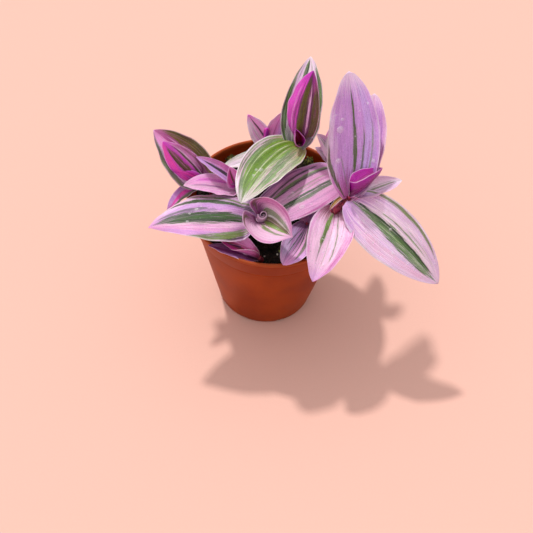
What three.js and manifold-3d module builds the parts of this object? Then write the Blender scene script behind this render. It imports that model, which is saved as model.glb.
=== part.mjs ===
// A tradescantia with pink, lilac and green striped leaves, growing in a 9 cm plastic pot.
// Millimetres, +Z up. The origin is the middle of the flat face that the pot stands on.

import * as THREE from 'three';
import { mergeVertices } from 'three/addons/utils/BufferGeometryUtils.js';
import Module from 'manifold-3d';

// Driving dimensions of the pot.
const potHeight = 78;
const rimRadius = 45;
const bandFootRadius = 41;
const bandHeight = 14;
const bandStep = 0.7;
const baseRadius = 27;
const baseEdge = 2.5;
const wall = 1.2;
const lipThickness = 2;
const lipHeight = 2.4;
const floorThickness = 1.6;
const innerBevel = 1.2;
const recessDepth = 1.5;
const recessInner = 8;
const recessOuter = 21.5;
const recessSlope = 0.6;
const footWidth = 4;
const footBevel = 1.2;
const bandUnderside = 0.4;
const shoulderHeight = 4;
const drainCount = 8;
const drainRing = 14.5;
const drainRadius = 2.6;
const drainSides = 12;
const notchWidth = 6;
const notchHeight = 3.2;
const notchDepth = 5.5;
const potSides = 40;

// Driving dimensions of the soil.
const soilTop = 70;
const soilWave = 1.3;
const soilGap = 0.3;
const soilRings = 6;
const holeRise = 12;
const holeSides = 16;

// Driving dimensions of the foliage.
const bladeThickness = 0.8;
const rootFraction = 0.02;
const stemSides = 8;
const stemSteps = 9;
const stemTaper = 0.2;
const nodeSwell = 0.22;
const nodeSpread = 0.17;
const claspAngle = 70;
const claspReach = 0.16;
const longLeaf = 40;

// Each shoot has a stem that runs through a few points, x, y and z in mm, and the stem's radius there.
// Each leaf grows at a place on the stem, from 0 at the foot to 1 at the top. It points toward a
// bearing in degrees, 0 along +X and 90 along +Y, rises from level at its base by an angle, droops
// by another on its way to the tip, and swings aside. Roll turns the blade about its midrib, fold
// lifts each half off the midrib and cup curls each half upward, or downward below 0. Blunt makes
// the tip rounder, or finer below 0, and clasp is the curl where a leaf wraps the stem.
const shoots = [
  {
    name: 'shoot_right',
    radius: 3.1,
    stem: [[27, -8, 60], [28, -10, 74], [33, -13, 87], [39, -13, 96], [41, -13, 101]],
    leaves: [
      { at: 0.55, toward: 268, swing: -22, rise: 9, droop: 42, length: 44, width: 24, fold: 8, cup: 16 },
      {
        at: 0.8, toward: 328, swing: 10, rise: -12, droop: 31, length: 66, width: 30,
        roll: -35, fold: 6, cup: 8, blunt: 0.35,
      },
      {
        at: 0.85, toward: 88, swing: 20, rise: 62, droop: 12, length: 65, width: 28,
        fold: 6, cup: 20, blunt: 0.5,
      },
      { at: 0.9, toward: 12, swing: 24, rise: 12, droop: 16, length: 30, width: 15, fold: 20, cup: 20 },
      {
        at: 0.98, toward: 22, swing: -16, rise: 50, droop: 8, length: 22, width: 24,
        roll: 35, fold: 30, cup: 110,
      },
      {
        at: 0.8, toward: 60, swing: 30, rise: 50, droop: 16, length: 56, width: 21,
        fold: 10, cup: 20, blunt: 0.4,
      },
    ],
  },
  {
    name: 'shoot_back',
    radius: 3.0,
    stem: [[10, 24, 60], [10, 24, 74], [11, 23, 88], [12, 21, 100]],
    leaves: [
      {
        at: 0.85, toward: 216, swing: 38, rise: 26, droop: 44, length: 50, width: 26,
        fold: 6, cup: 12, blunt: 0.3,
      },
      { at: 0.88, toward: 88, swing: -10, rise: 68, droop: 14, length: 50, width: 21, fold: 8, cup: 20 },
      {
        at: 0.97, toward: 222, swing: 20, rise: 86, droop: -16, length: 48, width: 19,
        fold: 10, cup: 40,
      },
      { at: 0.99, toward: 230, rise: 60, droop: -20, length: 15, width: 14, fold: 20, cup: 120 },
    ],
  },
  {
    name: 'shoot_back_left',
    radius: 2.4,
    stem: [[-4, 35, 60], [-4, 36, 74], [-5, 37, 84]],
    leaves: [
      { at: 0.6, toward: 213, rise: 10, droop: 10, length: 30, width: 15, fold: 15, cup: 20 },
      { at: 0.85, toward: 162, rise: 62, droop: 8, length: 22, width: 12, roll: 50, fold: 12, cup: 20 },
      { at: 0.9, toward: 15, rise: 74, droop: 0, length: 21, width: 11, roll: -50, fold: 12, cup: 30 },
      { at: 0.95, toward: 277, rise: 80, droop: 0, length: 13, width: 9, fold: 20, cup: 110 },
    ],
  },
  {
    name: 'shoot_back_right',
    radius: 2.4,
    stem: [[30, 18, 60], [31, 19, 74], [33, 22, 86]],
    leaves: [
      { at: 0.8, toward: 134, swing: 20, rise: 30, droop: 10, length: 15, width: 10, fold: 15, cup: 20 },
      {
        at: 0.9, toward: 118, swing: 36, rise: 44, droop: 10, length: 21, width: 12,
        roll: 20, fold: 15, cup: 20,
      },
      { at: 0.9, toward: 60, rise: 62, droop: 12, length: 36, width: 18, fold: 12, cup: 20 },
      { at: 0.85, toward: 84, rise: 30, droop: 24, length: 32, width: 16, fold: 12, cup: 20 },
    ],
  },
  {
    name: 'shoot_left',
    radius: 2.8,
    stem: [[-31, 6, 60], [-31, 6, 72], [-34, 5, 79], [-37, 4, 83]],
    leaves: [
      { at: 0.75, toward: 225, swing: -16, rise: 8, droop: 16, length: 24, width: 14, fold: 10, cup: 20 },
      {
        at: 0.8, toward: 154, swing: 10, rise: 42, droop: 0, length: 41, width: 25,
        roll: 30, fold: 8, cup: 20,
      },
      {
        at: 0.97, toward: 194, swing: -22, rise: 56, droop: 2, length: 36, width: 17,
        roll: -118, fold: 10, cup: 30,
      },
      {
        at: 1, toward: 206, swing: -10, rise: 52, droop: 14, length: 20, width: 12,
        roll: -20, fold: 20, cup: 100,
      },
    ],
  },
  {
    name: 'shoot_left_inner',
    radius: 2.4,
    stem: [[-17, 5, 60], [-17, 5, 74], [-18, 4, 85]],
    leaves: [
      { at: 0.85, toward: 199, swing: 6, rise: 23, droop: 20, length: 32, width: 13, fold: 12, cup: 20 },
      { at: 0.9, toward: 172, rise: 41, droop: 12, length: 28, width: 10, roll: 10, fold: 15, cup: 20 },
      { at: 0.95, toward: 178, rise: 76, droop: 0, length: 14, width: 10, roll: 60, fold: 20, cup: 60 },
    ],
  },
  {
    name: 'shoot_centre',
    radius: 3.0,
    stem: [[-7, -6, 60], [-7, -8, 73], [-6, -18, 82], [-2, -27, 89]],
    leaves: [
      {
        at: 0.68, toward: 184, swing: 22, rise: 24, droop: 36, length: 59, width: 32,
        roll: -4, fold: 0, cup: -18, blunt: -0.4,
      },
      {
        at: 0.62, toward: 29, swing: 2, rise: 29, droop: 29, length: 54, width: 27,
        roll: -10, fold: 4, cup: -10, blunt: 1,
      },
      {
        at: 1, toward: 287, swing: 40, rise: 56, droop: 74, length: 24, width: 38, roll: -34,
        fold: 10, cup: 25, clasp: 150, claspReach: 0.85, blunt: -1, across: 8, steps: 8,
      },
      {
        at: 0.95, toward: 270, rise: 52, droop: 0, length: 11, width: 14, blunt: 1.4, fold: 10, cup: 150,
        clasp: 150, across: 8, steps: 5,
      },
    ],
  },
  {
    name: 'shoot_front_right',
    radius: 2.4,
    stem: [[19, -15, 60], [19, -15, 74], [20, -17, 80]],
    leaves: [
      {
        at: 0.9, toward: 268, swing: -34, rise: 20, droop: 34, length: 31, width: 18,
        fold: 10, cup: 10, blunt: 0.5,
      },
      { at: 0.8, toward: 90, rise: 20, droop: 10, length: 20, width: 13, fold: 10, cup: 20 },
    ],
  },
  {
    name: 'shoot_front_left',
    radius: 2.2,
    stem: [[-3, -34, 60], [-3, -36, 71], [-4, -38, 75]],
    leaves: [
      {
        at: 0.9, toward: 170, swing: -6, rise: 24, droop: 12, length: 21, width: 14,
        roll: 10, fold: 20, cup: 60,
      },
      { at: 0.75, toward: 166, rise: 20, droop: 6, length: 27, width: 11, fold: 10, cup: 20 },
    ],
  },
];

const wasm = await Module();
wasm.setup();

const degrees = Math.PI / 180;

function lerp(a, b, t) {
  return a + (b - a) * t;
}

function smooth(t) {
  const k = Math.min(Math.max(t, 0), 1);
  return k * k * (3 - 2 * k);
}

// A closed geometry becomes a solid that can be joined and cut.
function solid(geometry) {
  const bare = geometry.clone();
  bare.deleteAttribute('normal');
  bare.deleteAttribute('uv');
  const merged = mergeVertices(bare, 1e-4);
  return new wasm.Manifold(new wasm.Mesh({
    numProp: 3,
    vertProperties: new Float32Array(merged.attributes.position.array),
    triVerts: new Uint32Array(merged.index.array),
  }));
}

function geometryOf(manifold) {
  const mesh = manifold.getMesh();
  const geometry = new THREE.BufferGeometry();
  geometry.setAttribute('position', new THREE.BufferAttribute(mesh.vertProperties, 3));
  geometry.setIndex(new THREE.BufferAttribute(mesh.triVerts, 1));
  return geometry;
}

// Rings of points, each ring as long as the next, are skinned into a closed tube with flat ends.
function skin(rings) {
  const count = rings[0].length;
  const positions = rings.flat().flatMap((p) => [p.x, p.y, p.z]);
  const index = [];
  for (let i = 0; i < rings.length - 1; i += 1) {
    for (let j = 0; j < count; j += 1) {
      const k = (j + 1) % count;
      const a = i * count + j;
      const b = i * count + k;
      index.push(a, b, b + count, a, b + count, a + count);
    }
  }
  const last = (rings.length - 1) * count;
  for (let j = 1; j < count - 1; j += 1) {
    index.push(0, j + 1, j, last, last + j, last + j + 1);
  }
  const geometry = new THREE.BufferGeometry();
  geometry.setAttribute('position', new THREE.Float32BufferAttribute(positions, 3));
  geometry.setIndex(index);
  return geometry;
}

// The share of a leaf's full width at a place along it: a narrow clasping root, then the widest
// place at two fifths of the length, then a fine tip.
function widthShare(v, blunt) {
  const tip = 0.8 - 0.35 * blunt;
  const widest = 0.5 / (0.5 + tip);
  const shape = (t) => Math.pow(rootFraction + (1 - rootFraction) * t, 0.5) * Math.pow(1 - t, tip);
  return Math.max(shape(v) / shape(widest), 0.03);
}

// The middle surface of a leaf: a point for each place across (u from -1 to 1) and along (v).
function bladeFrame(leaf, root, steps) {
  const frames = [];
  const point = root.clone();
  for (let i = 0; i <= steps; i += 1) {
    const v = i / steps;
    const bearing = (leaf.toward + (leaf.swing ?? 0) * v) * degrees;
    const rise = (leaf.rise - leaf.droop * v) * degrees;
    const along = new THREE.Vector3(
      Math.cos(rise) * Math.cos(bearing), Math.cos(rise) * Math.sin(bearing), Math.sin(rise));
    const up = new THREE.Vector3(
      -Math.sin(rise) * Math.cos(bearing), -Math.sin(rise) * Math.sin(bearing), Math.cos(rise));
    const across = new THREE.Vector3().crossVectors(along, up);
    const roll = (leaf.roll ?? 0) * degrees;
    const side = across.clone().multiplyScalar(Math.cos(roll)).addScaledVector(up, Math.sin(roll));
    const face = up.clone().multiplyScalar(Math.cos(roll)).addScaledVector(across, -Math.sin(roll));
    if (i > 0) point.addScaledVector(along, leaf.length / steps);
    frames.push({ v, point: point.clone(), side, face });
  }
  return frames;
}

// A blade is a sheet of even thickness, split alike on both faces.
function blade(leaf, root) {
  const long = leaf.length > longLeaf;
  const across = leaf.across ?? (long ? 6 : 4);
  const steps = leaf.steps ?? (long ? 8 : 6);
  const rows = bladeFrame(leaf, root, steps).map((frame) => {
    const half = leaf.width / 2 * widthShare(frame.v, leaf.blunt ?? 0);
    const clasp = 1 - smooth(frame.v / (leaf.claspReach ?? claspReach));
    const fold = leaf.fold * degrees;
    const cup = lerp(leaf.cup, leaf.clasp ?? claspAngle, clasp) * degrees;
    const row = [];
    for (let j = 0; j <= across; j += 1) {
      const u = j / across * 2 - 1;
      const share = Math.abs(u);
      const turn = cup * share || 1e-6;
      const reach = half * share / turn;
      const out = reach * (Math.sin(fold + turn) - Math.sin(fold));
      const lift = reach * (Math.cos(fold) - Math.cos(fold + turn));
      const lean = (fold + turn) * Math.sign(u);
      const middle = frame.point.clone()
        .addScaledVector(frame.side, out * Math.sign(u))
        .addScaledVector(frame.face, lift);
      const normal = frame.face.clone().multiplyScalar(Math.cos(lean))
        .addScaledVector(frame.side, -Math.sin(lean));
      row.push({
        top: middle.clone().addScaledVector(normal, bladeThickness / 2),
        under: middle.clone().addScaledVector(normal, -bladeThickness / 2),
      });
    }
    return row;
  });
  return skinSheet(rows);
}

// Rows of point pairs become a closed sheet: both faces, both edges, the root and the tip.
function skinSheet(rows) {
  const wide = rows[0].length;
  const positions = [];
  const index = [];
  rows.flat().forEach(({ top, under }) => {
    positions.push(top.x, top.y, top.z, under.x, under.y, under.z);
  });
  const topAt = (i, j) => (i * wide + j) * 2;
  const underAt = (i, j) => topAt(i, j) + 1;
  const quad = (a, b, c, d) => index.push(a, b, c, a, c, d);
  for (let i = 0; i < rows.length - 1; i += 1) {
    for (let j = 0; j < wide - 1; j += 1) {
      quad(topAt(i, j), topAt(i, j + 1), topAt(i + 1, j + 1), topAt(i + 1, j));
      index.push(
        underAt(i, j), underAt(i + 1, j + 1), underAt(i, j + 1),
        underAt(i, j), underAt(i + 1, j), underAt(i + 1, j + 1));
    }
    quad(topAt(i, 0), topAt(i + 1, 0), underAt(i + 1, 0), underAt(i, 0));
    quad(topAt(i, wide - 1), underAt(i, wide - 1), underAt(i + 1, wide - 1), topAt(i + 1, wide - 1));
  }
  const end = rows.length - 1;
  for (let j = 0; j < wide - 1; j += 1) {
    quad(topAt(0, j), underAt(0, j), underAt(0, j + 1), topAt(0, j + 1));
    quad(topAt(end, j), topAt(end, j + 1), underAt(end, j + 1), underAt(end, j));
  }
  const geometry = new THREE.BufferGeometry();
  geometry.setAttribute('position', new THREE.Float32BufferAttribute(positions, 3));
  geometry.setIndex(index);
  return geometry;
}

function stemCurve(shoot) {
  return new THREE.CatmullRomCurve3(shoot.stem.map((p) => new THREE.Vector3(...p)));
}

// A stem is a round tube that tapers a little and swells at each node where a leaf grows.
function stem(shoot) {
  const curve = stemCurve(shoot);
  const rings = [];
  for (let i = 0; i <= stemSteps; i += 1) {
    const t = i / stemSteps;
    const centre = curve.getPoint(t);
    const along = curve.getTangent(t);
    const side = new THREE.Vector3(0, 1, 0).cross(along).normalize();
    const front = new THREE.Vector3().crossVectors(along, side);
    const swell = shoot.leaves.reduce((most, leaf) => (
      Math.max(most, nodeSwell * (1 - Math.abs(t - leaf.at) / nodeSpread))), 0);
    const radius = shoot.radius * (1 - stemTaper * t) * (1 + swell);
    const ring = [];
    for (let j = 0; j < stemSides; j += 1) {
      const angle = j / stemSides * 2 * Math.PI;
      ring.push(centre.clone()
        .addScaledVector(side, radius * Math.cos(angle))
        .addScaledVector(front, radius * Math.sin(angle)));
    }
    rings.push(ring);
  }
  return skin(rings);
}

// The blades and their stem are joined, and closed pockets between crossing blades are filled.
function leafyStem(shoot) {
  const curve = stemCurve(shoot);
  const joined = shoot.leaves.reduce(
    (whole, leaf) => whole.add(solid(blade(leaf, curve.getPoint(leaf.at)))),
    solid(stem(shoot)));
  return wasm.Manifold.compose(joined.decompose().filter((piece) => piece.volume() > 0));
}

// A profile of radius and height turns about the pot's axis.
function turned(profile, sides) {
  return new THREE.LatheGeometry(profile.map(([r, z]) => new THREE.Vector2(r, z)), sides)
    .rotateX(Math.PI / 2);
}

const bandFoot = potHeight - bandHeight;
const bodyTop = bandFootRadius - bandStep;
const innerFloor = recessDepth + floorThickness;

// The radius of the pot's outer wall at a height.
function outerRadius(z) {
  if (z >= bandFoot) return lerp(bandFootRadius, rimRadius, (z - bandFoot) / bandHeight);
  return lerp(baseRadius, bodyTop, (z - baseEdge) / (bandFoot - baseEdge));
}

// The radius of the inner wall, with a soft shoulder where the band starts.
function innerRadius(z) {
  const shoulder = smooth((z - bandFoot) / shoulderHeight + 0.5);
  const below = lerp(baseRadius, bodyTop, (z - baseEdge) / (bandFoot - baseEdge)) - wall;
  const above = lerp(bandFootRadius, rimRadius, (z - bandFoot) / bandHeight) - wall;
  return lerp(below, above, shoulder);
}

function potShell() {
  const lipFoot = potHeight - lipHeight;
  const bead = lipThickness / 2;
  const chamfer = bead * 0.3;
  const shoulder = shoulderHeight / 2;
  const outside = [
    [0, 0], [recessInner, 0], [recessInner + recessSlope, recessDepth],
    [recessOuter - recessSlope, recessDepth], [recessOuter, 0],
    [recessOuter + footWidth, 0], [baseRadius - chamfer, footBevel], [baseRadius, baseEdge],
    [bodyTop, bandFoot - bandUnderside], [bandFootRadius, bandFoot],
    [outerRadius(lipFoot), lipFoot], [rimRadius, potHeight - bead],
    [rimRadius - chamfer, potHeight - chamfer],
  ];
  const inside = [
    [rimRadius - bead, potHeight], [rimRadius - lipThickness + chamfer, potHeight - chamfer],
    [rimRadius - lipThickness, potHeight - bead],
    [innerRadius(lipFoot - innerBevel), lipFoot - innerBevel],
    [innerRadius(bandFoot + shoulder), bandFoot + shoulder],
    [innerRadius(bandFoot - shoulder), bandFoot - shoulder],
    [innerRadius(innerFloor + innerBevel), innerFloor + innerBevel],
    [innerRadius(innerFloor) - innerBevel, innerFloor],
    [0, innerFloor],
  ];
  return turned([...outside, ...inside], potSides);
}

// The drain holes lie in a ring between notches in the foot.
function pot() {
  let body = solid(potShell());
  for (let i = 0; i < drainCount; i += 1) {
    const angle = (i + 0.5) / drainCount * 2 * Math.PI;
    const hole = new THREE.CylinderGeometry(drainRadius, drainRadius, 3 * innerFloor, drainSides)
      .rotateX(Math.PI / 2)
      .translate(drainRing * Math.cos(angle), drainRing * Math.sin(angle), innerFloor);
    const notch = new THREE.BoxGeometry(2 * notchDepth, notchWidth, 2 * notchHeight)
      .translate(baseRadius, 0, 0).rotateZ(angle);
    body = body.subtract(solid(hole)).subtract(solid(notch));
  }
  return geometryOf(body);
}

// The height of the soil's surface: low swells that never repeat, and no two clods alike.
function soilHeight(x, y) {
  const swell = Math.sin(x * 0.17 + 1.3) * Math.cos(y * 0.14 - 0.6);
  const clods = Math.sin(x * 0.61 + y * 0.23) * Math.sin(y * 0.53 - x * 0.31 + 2.1);
  return soilTop + soilWave * (0.5 * swell + 0.5 * clods);
}

// The soil fills the pot, and a plain hole stands open round each stem.
function soil() {
  const floor = innerFloor + soilGap;
  const shoulder = shoulderHeight / 2;
  const edge = (z) => innerRadius(z) - soilGap;
  const profile = [
    [0, floor], [edge(innerFloor) - innerBevel, floor],
    [edge(innerFloor + innerBevel) - soilGap, floor + innerBevel],
    [edge(bandFoot - shoulder), bandFoot - shoulder],
    [edge(bandFoot + shoulder), bandFoot + shoulder],
  ];
  for (let i = soilRings; i >= 1; i -= 1) profile.push([edge(soilTop) * i / soilRings, soilTop]);
  profile.push([0, soilTop]);
  const filled = turned(profile, potSides);
  const place = filled.attributes.position;
  for (let i = 0; i < place.count; i += 1) {
    const z = place.getZ(i);
    if (z > soilTop - 0.01) place.setZ(i, soilHeight(place.getX(i), place.getY(i)));
  }
  return geometryOf(shoots.reduce((body, shoot) => {
    const [foot, bend] = shoot.stem;
    const radius = shoot.radius * (1 + nodeSwell) + soilGap;
    const from = new THREE.Vector3(...foot);
    const to = new THREE.Vector3(...bend);
    const length = to.distanceTo(from);
    const hole = new THREE.CylinderGeometry(radius, radius, length + holeRise, holeSides);
    hole.applyQuaternion(new THREE.Quaternion().setFromUnitVectors(
      new THREE.Vector3(0, 1, 0), to.clone().sub(from).normalize()));
    const middle = from.clone().lerp(to, 0.5 + (holeRise / 2 - soilGap) / length);
    return body.subtract(solid(hole.translate(middle.x, middle.y, middle.z)));
  }, solid(filled)));
}

const plant = new THREE.Group();
plant.name = 'potted_tradescantia';

function addMesh(name, geometry, material) {
  const mesh = new THREE.Mesh(geometry, material);
  mesh.name = name;
  plant.add(mesh);
}

const leafColour = new THREE.MeshStandardMaterial({ color: 0xc58fbd, roughness: 0.45, metalness: 0 });
const potPlastic = new THREE.MeshStandardMaterial({ color: 0xa5502e, roughness: 0.5, metalness: 0 });
const soilColour = new THREE.MeshStandardMaterial({ color: 0x2a1d16, roughness: 0.95, metalness: 0 });

addMesh('pot', pot(), potPlastic);
addMesh('soil', soil(), soilColour);
shoots.forEach((shoot) => addMesh(shoot.name, geometryOf(leafyStem(shoot)), leafColour));

export default plant;
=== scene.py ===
import math

import bpy
import numpy as np
from mathutils import Euler, Matrix, Vector


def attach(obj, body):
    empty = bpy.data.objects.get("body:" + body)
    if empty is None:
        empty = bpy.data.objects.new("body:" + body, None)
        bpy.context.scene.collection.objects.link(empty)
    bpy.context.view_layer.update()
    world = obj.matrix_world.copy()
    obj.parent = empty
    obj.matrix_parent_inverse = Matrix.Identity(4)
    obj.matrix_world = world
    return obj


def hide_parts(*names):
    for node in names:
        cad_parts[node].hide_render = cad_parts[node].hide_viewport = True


# A potted tradescantia. Pot, soil, stems and leaves are laid out in millimetres, in the frame of the
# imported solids, and are scaled to metres as their meshes are made.
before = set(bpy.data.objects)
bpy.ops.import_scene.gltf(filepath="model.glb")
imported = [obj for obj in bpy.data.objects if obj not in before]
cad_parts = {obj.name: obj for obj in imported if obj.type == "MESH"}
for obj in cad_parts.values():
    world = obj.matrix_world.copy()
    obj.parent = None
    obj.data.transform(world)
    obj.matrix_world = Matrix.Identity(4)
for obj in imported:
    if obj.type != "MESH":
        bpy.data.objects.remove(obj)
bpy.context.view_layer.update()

MM = 0.001
TURN = 2 * math.pi

# Measures that the solids share.
POT_HEIGHT = 78
RIM_RADIUS = 45
BAND_FOOT_RADIUS = 41
BAND_HEIGHT = 14
BAND_STEP = 0.7
BAND_UNDERSIDE = 0.4
BASE_RADIUS = 27
BASE_EDGE = 2.5
WALL = 1.2
LIP_THICKNESS = 2
LIP_HEIGHT = 2.4
FLOOR_THICKNESS = 1.6
INNER_BEVEL = 1.2
RECESS_DEPTH = 1.5
RECESS_INNER = 8
RECESS_OUTER = 21.5
RECESS_SLOPE = 0.6
FOOT_WIDTH = 4
FOOT_BEVEL = 1.2
SHOULDER_HEIGHT = 4
DRAIN_COUNT = 8
DRAIN_RING = 14.5
DRAIN_RADIUS = 2.6
NOTCH_WIDTH = 4
NOTCH_HEIGHT = 1.8
NOTCH_DEPTH = 5.5
SOIL_TOP = 70
SOIL_WAVE = 1.3
SOIL_GAP = 0.3
STEM_TAPER = 0.2
NODE_SWELL = 0.22
NODE_SPREAD = 0.17
ROOT_FRACTION = 0.02
ROOT_POWER = 0.5
TIP_POWER = 0.8
BLUNTING = 0.35
LEAST_WIDTH = 0.012
CLASP_ANGLE = 70
CLASP_REACH = 0.16
LONG_LEAF = 40
LONG_STEPS = 8
SHORT_STEPS = 6
BAND_FOOT = POT_HEIGHT - BAND_HEIGHT
BODY_TOP = BAND_FOOT_RADIUS - BAND_STEP
INNER_FLOOR = RECESS_DEPTH + FLOOR_THICKNESS

# Finer measures of the pot: the groove under its band, the curve under its lip, and its soft corners.
POT_SIDES = 144
GROOVE_FOOT = 2.2
GROOVE_MIDDLE = 1
BAND_GROOVE = 0.45
LIP_CURVE = 1.2
LIP_CREASE = 0.2
LIP_UNDERCUT = 0.3
LIP_SWELL = 0.4
LIP_BULGE = 0.5
CORNER_REACH = 0.5
SHARP_ANGLE = 40
MOULD_RING = 1.1

# Finer measures of leaves: the blade's thickness in its middle and at its rim, how far the midrib sinks
# in, how far the rims wave, and how fine the mesh is on large and small leaves.
BLADE = 0.5
BLADE_RIM = 0.12
TIP_THINNING = 0.6
GROOVE = 0.25
GROOVE_WIDTH = 0.8
RIM_WAVE = 0.35
VEIN_SPACING = 0.9
PATH_STEPS = 400
FINE_MESH_LENGTH = 28
FINE_MESH = (34, 44)
SMALL_MESH = (26, 28)

# Stems are slimmer than the solids, most of all where the leaves wrap them, and end under the last
# leaves. A sheath with hairs stands where a leaf clasps its stem.
STEM_INSET = 0.97
STEM_SLIMMING = 0.55
SLIM_FROM = 0.36
SLIM_SPAN = 0.34
STEM_END = 0.97
STEM_STEPS = 40
SHEATH_HEIGHT = 4.5
SHEATH_THICKNESS = 0.2
SHEATH_SIDES = 24
HAIR_LENGTH = 1.3
HAIR_RADIUS = 0.05
HAIRS_A_SHEATH = 48

# The hairs: how far under a sheath's edge they start, how much they lean out and along the stem, how far
# they stray from that, and how their lengths vary.
HAIR_DROP = 1.2
HAIR_OUT = (0.3, 1.0)
HAIR_ALONG = (0.4, 1.0)
HAIR_STRAY = 0.15
HAIR_LENGTHS = (0.6, 1.2)

# Rolls: turns of the sheet, its thickness, how far it narrows inward and to its top, and how far its top
# edge slants and dips.
ROLL_TURNS = 1.8
ROLL_SHEET = 0.6
ROLL_INWARD = 0.8
ROLL_UPWARD = 0.2
ROLL_SLANT = 0.16
ROLL_DIP = 0.04

# The soil: how fine its mesh is, how many lumps and bits of perlite lie on it, with their least and
# greatest radius, how much more common small ones are, how far they sink in, and how they are flattened,
# dented and stretched.
SOIL_SIDES = 220
SOIL_RINGS = 74
SOIL_LUMPS = (900, 0.4, 1.9)
PERLITE_BITS = (26, 0.5, 1.1)
LUMP_SMALLNESS = 1.6
LUMP_SINK = 0.25
LUMP_SQUASH = 0.75
LUMP_DENT = 0.28
LUMP_STRETCH = (0.7, 1.2)

# Moss: how far a cushion is sunk in, how uneven its dome and its outline are, how far its blades stray
# from their lean, and how tall and wide they are.
MOSS_SINK = 0.6
MOSS_BUMPS = 0.15
MOSS_LOBES = 0.12
MOSS_STRAY = 0.4
MOSS_TALL = (1.0, 2.2)
MOSS_WIDE = (0.12, 0.24)

# Water: each drop's height by its radius, how far it sinks into the blade, how it is stretched and how far
# from round it is. Then the strewn drops' least radius, their range and where on a leaf they may lie.
DROP_HEIGHT = 0.32
DROP_SINK = 0.3
DROP_STRETCH = (0.85, 1.2)
DROP_WOBBLE = 0.08
STREWN_LEAST = 0.3
STREWN_SPREAD = 2.4
STREWN_ACROSS = (-0.85, 0.85)
STREWN_ALONG = (0.12, 0.9)

# Seeds of the random draws.
SHEATH_SEED = 3
DROPLET_SEED = 11
LUMP_SEED = 4
PERLITE_SEED = 9
MOSS_SEED = 21

# How a stripe's edges and ends break up into streaks, in shares of a leaf's half width and of its length.
END_FRAY = 0.2
EDGE_FRAY = 0.02
EDGE_SHARE = 0.5
STRIPE_EDGE = 0.014
HALO = 0.09
HALO_SHARE = 0.3
OPEN_BY_WIDTH = 1.5
OPEN_MOST = 0.35
STRIPE_DARK = 0.62
STRIPE_LIGHT = 1.45

# Streaks: how many lie side by side in a mm, how many follow on in a mm, and a step to other noise.
FINE_STREAKS = (2.3, 0.09, 0)
GAP_STREAKS = (1.5, 0.05, 4)
BROAD_STREAKS = (0.5, 0.04, 9)

# A leaf's tints: where the tip's, the foot's and the rim's begin and are full, and how strong they are.
# Then how strongly patches of other hues and small cells show.
TIP_TINT = (0.78, 1.0, 0.7)
FOOT_TINT = (0.3, 0.03, 0.8)
RIM_TINT = (0.93, 0.99, 0.5)
PATCH_TINT = 0.12
CELL_TINT = 0.22

# Colours as they look under plain white light, red, green and blue from 0 to 255. The two brightest pinks are
# brighter than any leaf's own pink: painted sunlight.
PALETTE = {
    "white_pink": (236, 218, 232), "pale_pink": (226, 186, 212), "bright_pink": (250, 176, 228),
    "pink": (212, 148, 194), "rose": (188, 94, 160), "hot_pink": (214, 66, 200),
    "neon_pink": (240, 66, 186), "magenta": (170, 6, 172), "deep_magenta": (122, 2, 100),
    "plum": (104, 36, 92), "dark_plum": (52, 8, 32), "lilac": (197, 147, 210),
    "pale_lilac": (220, 194, 226), "blue_lilac": (190, 158, 216), "grey_lilac": (174, 152, 186),
    "mauve": (148, 92, 146), "cream": (204, 204, 184), "pale_green": (172, 186, 146),
    "bright_green": (104, 146, 26), "leaf_green": (86, 122, 22), "deep_green": (44, 84, 24),
    "dark_green": (26, 48, 18), "moss": (62, 84, 8), "mid_green": (92, 130, 68),
    "grey_green": (104, 126, 80), "olive": (84, 84, 6), "light_olive": (112, 108, 26),
    "olive_grey": (88, 84, 36), "olive_brown": (128, 84, 58), "crimson": (108, 10, 34),
    "rose_red": (172, 52, 84), "tan": (206, 158, 104), "soil_black": (16, 11, 9),
    "soil_dark": (34, 24, 19), "soil_brown": (62, 44, 33), "soil_light": (92, 70, 52),
    "soil_pale": (150, 130, 108), "moss_tuft": (140, 150, 40), "yellow_green": (142, 138, 30),
    "perlite": (214, 206, 194),
}

# Linear colours of the pot and the floor. The pot's palest is for dusty scuffs and a painted lip highlight.
POT_LIGHT = (0.34, 0.05, 0.005, 1)
POT_DARK = (0.25, 0.03, 0.003, 1)
POT_DUST_AND_HIGHLIGHT = (0.5, 0.14, 0.05, 1)
FLOOR_COLOUR = (0.76, 0.465, 0.39, 1)
FLOOR_GRAIN = (0.73, 0.445, 0.37, 1)

# How far the floor reaches to each side.
FLOOR_REACH = 3000

# The sun, and a soft studio all round that is brighter above and to the left.
LIGHT_PATH = Vector((0.34, -0.40, -1.0))
SUN_ENERGY = 2.05
SUN_SIZE = math.radians(3.6)
SUN_COLOUR = (1.0, 0.97, 0.93)
SOFT_COLOUR = (1.0, 0.95, 0.95, 1)
SOFT_SIDE = Vector((-0.55, 0.1, 0.83))
SOFT_LOW = 0.2
SOFT_HIGH = 1.06

# The photograph's view: the camera's place, its pitch below level, its roll and its lens.
EYE = Vector((0.0003, -0.3855, 0.5227))
PITCH = math.radians(52.6)
ROLL = math.radians(4.25)
FOCAL_PIXELS = 1100
FRAME_PIXELS = 533
SENSOR = 36

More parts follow.
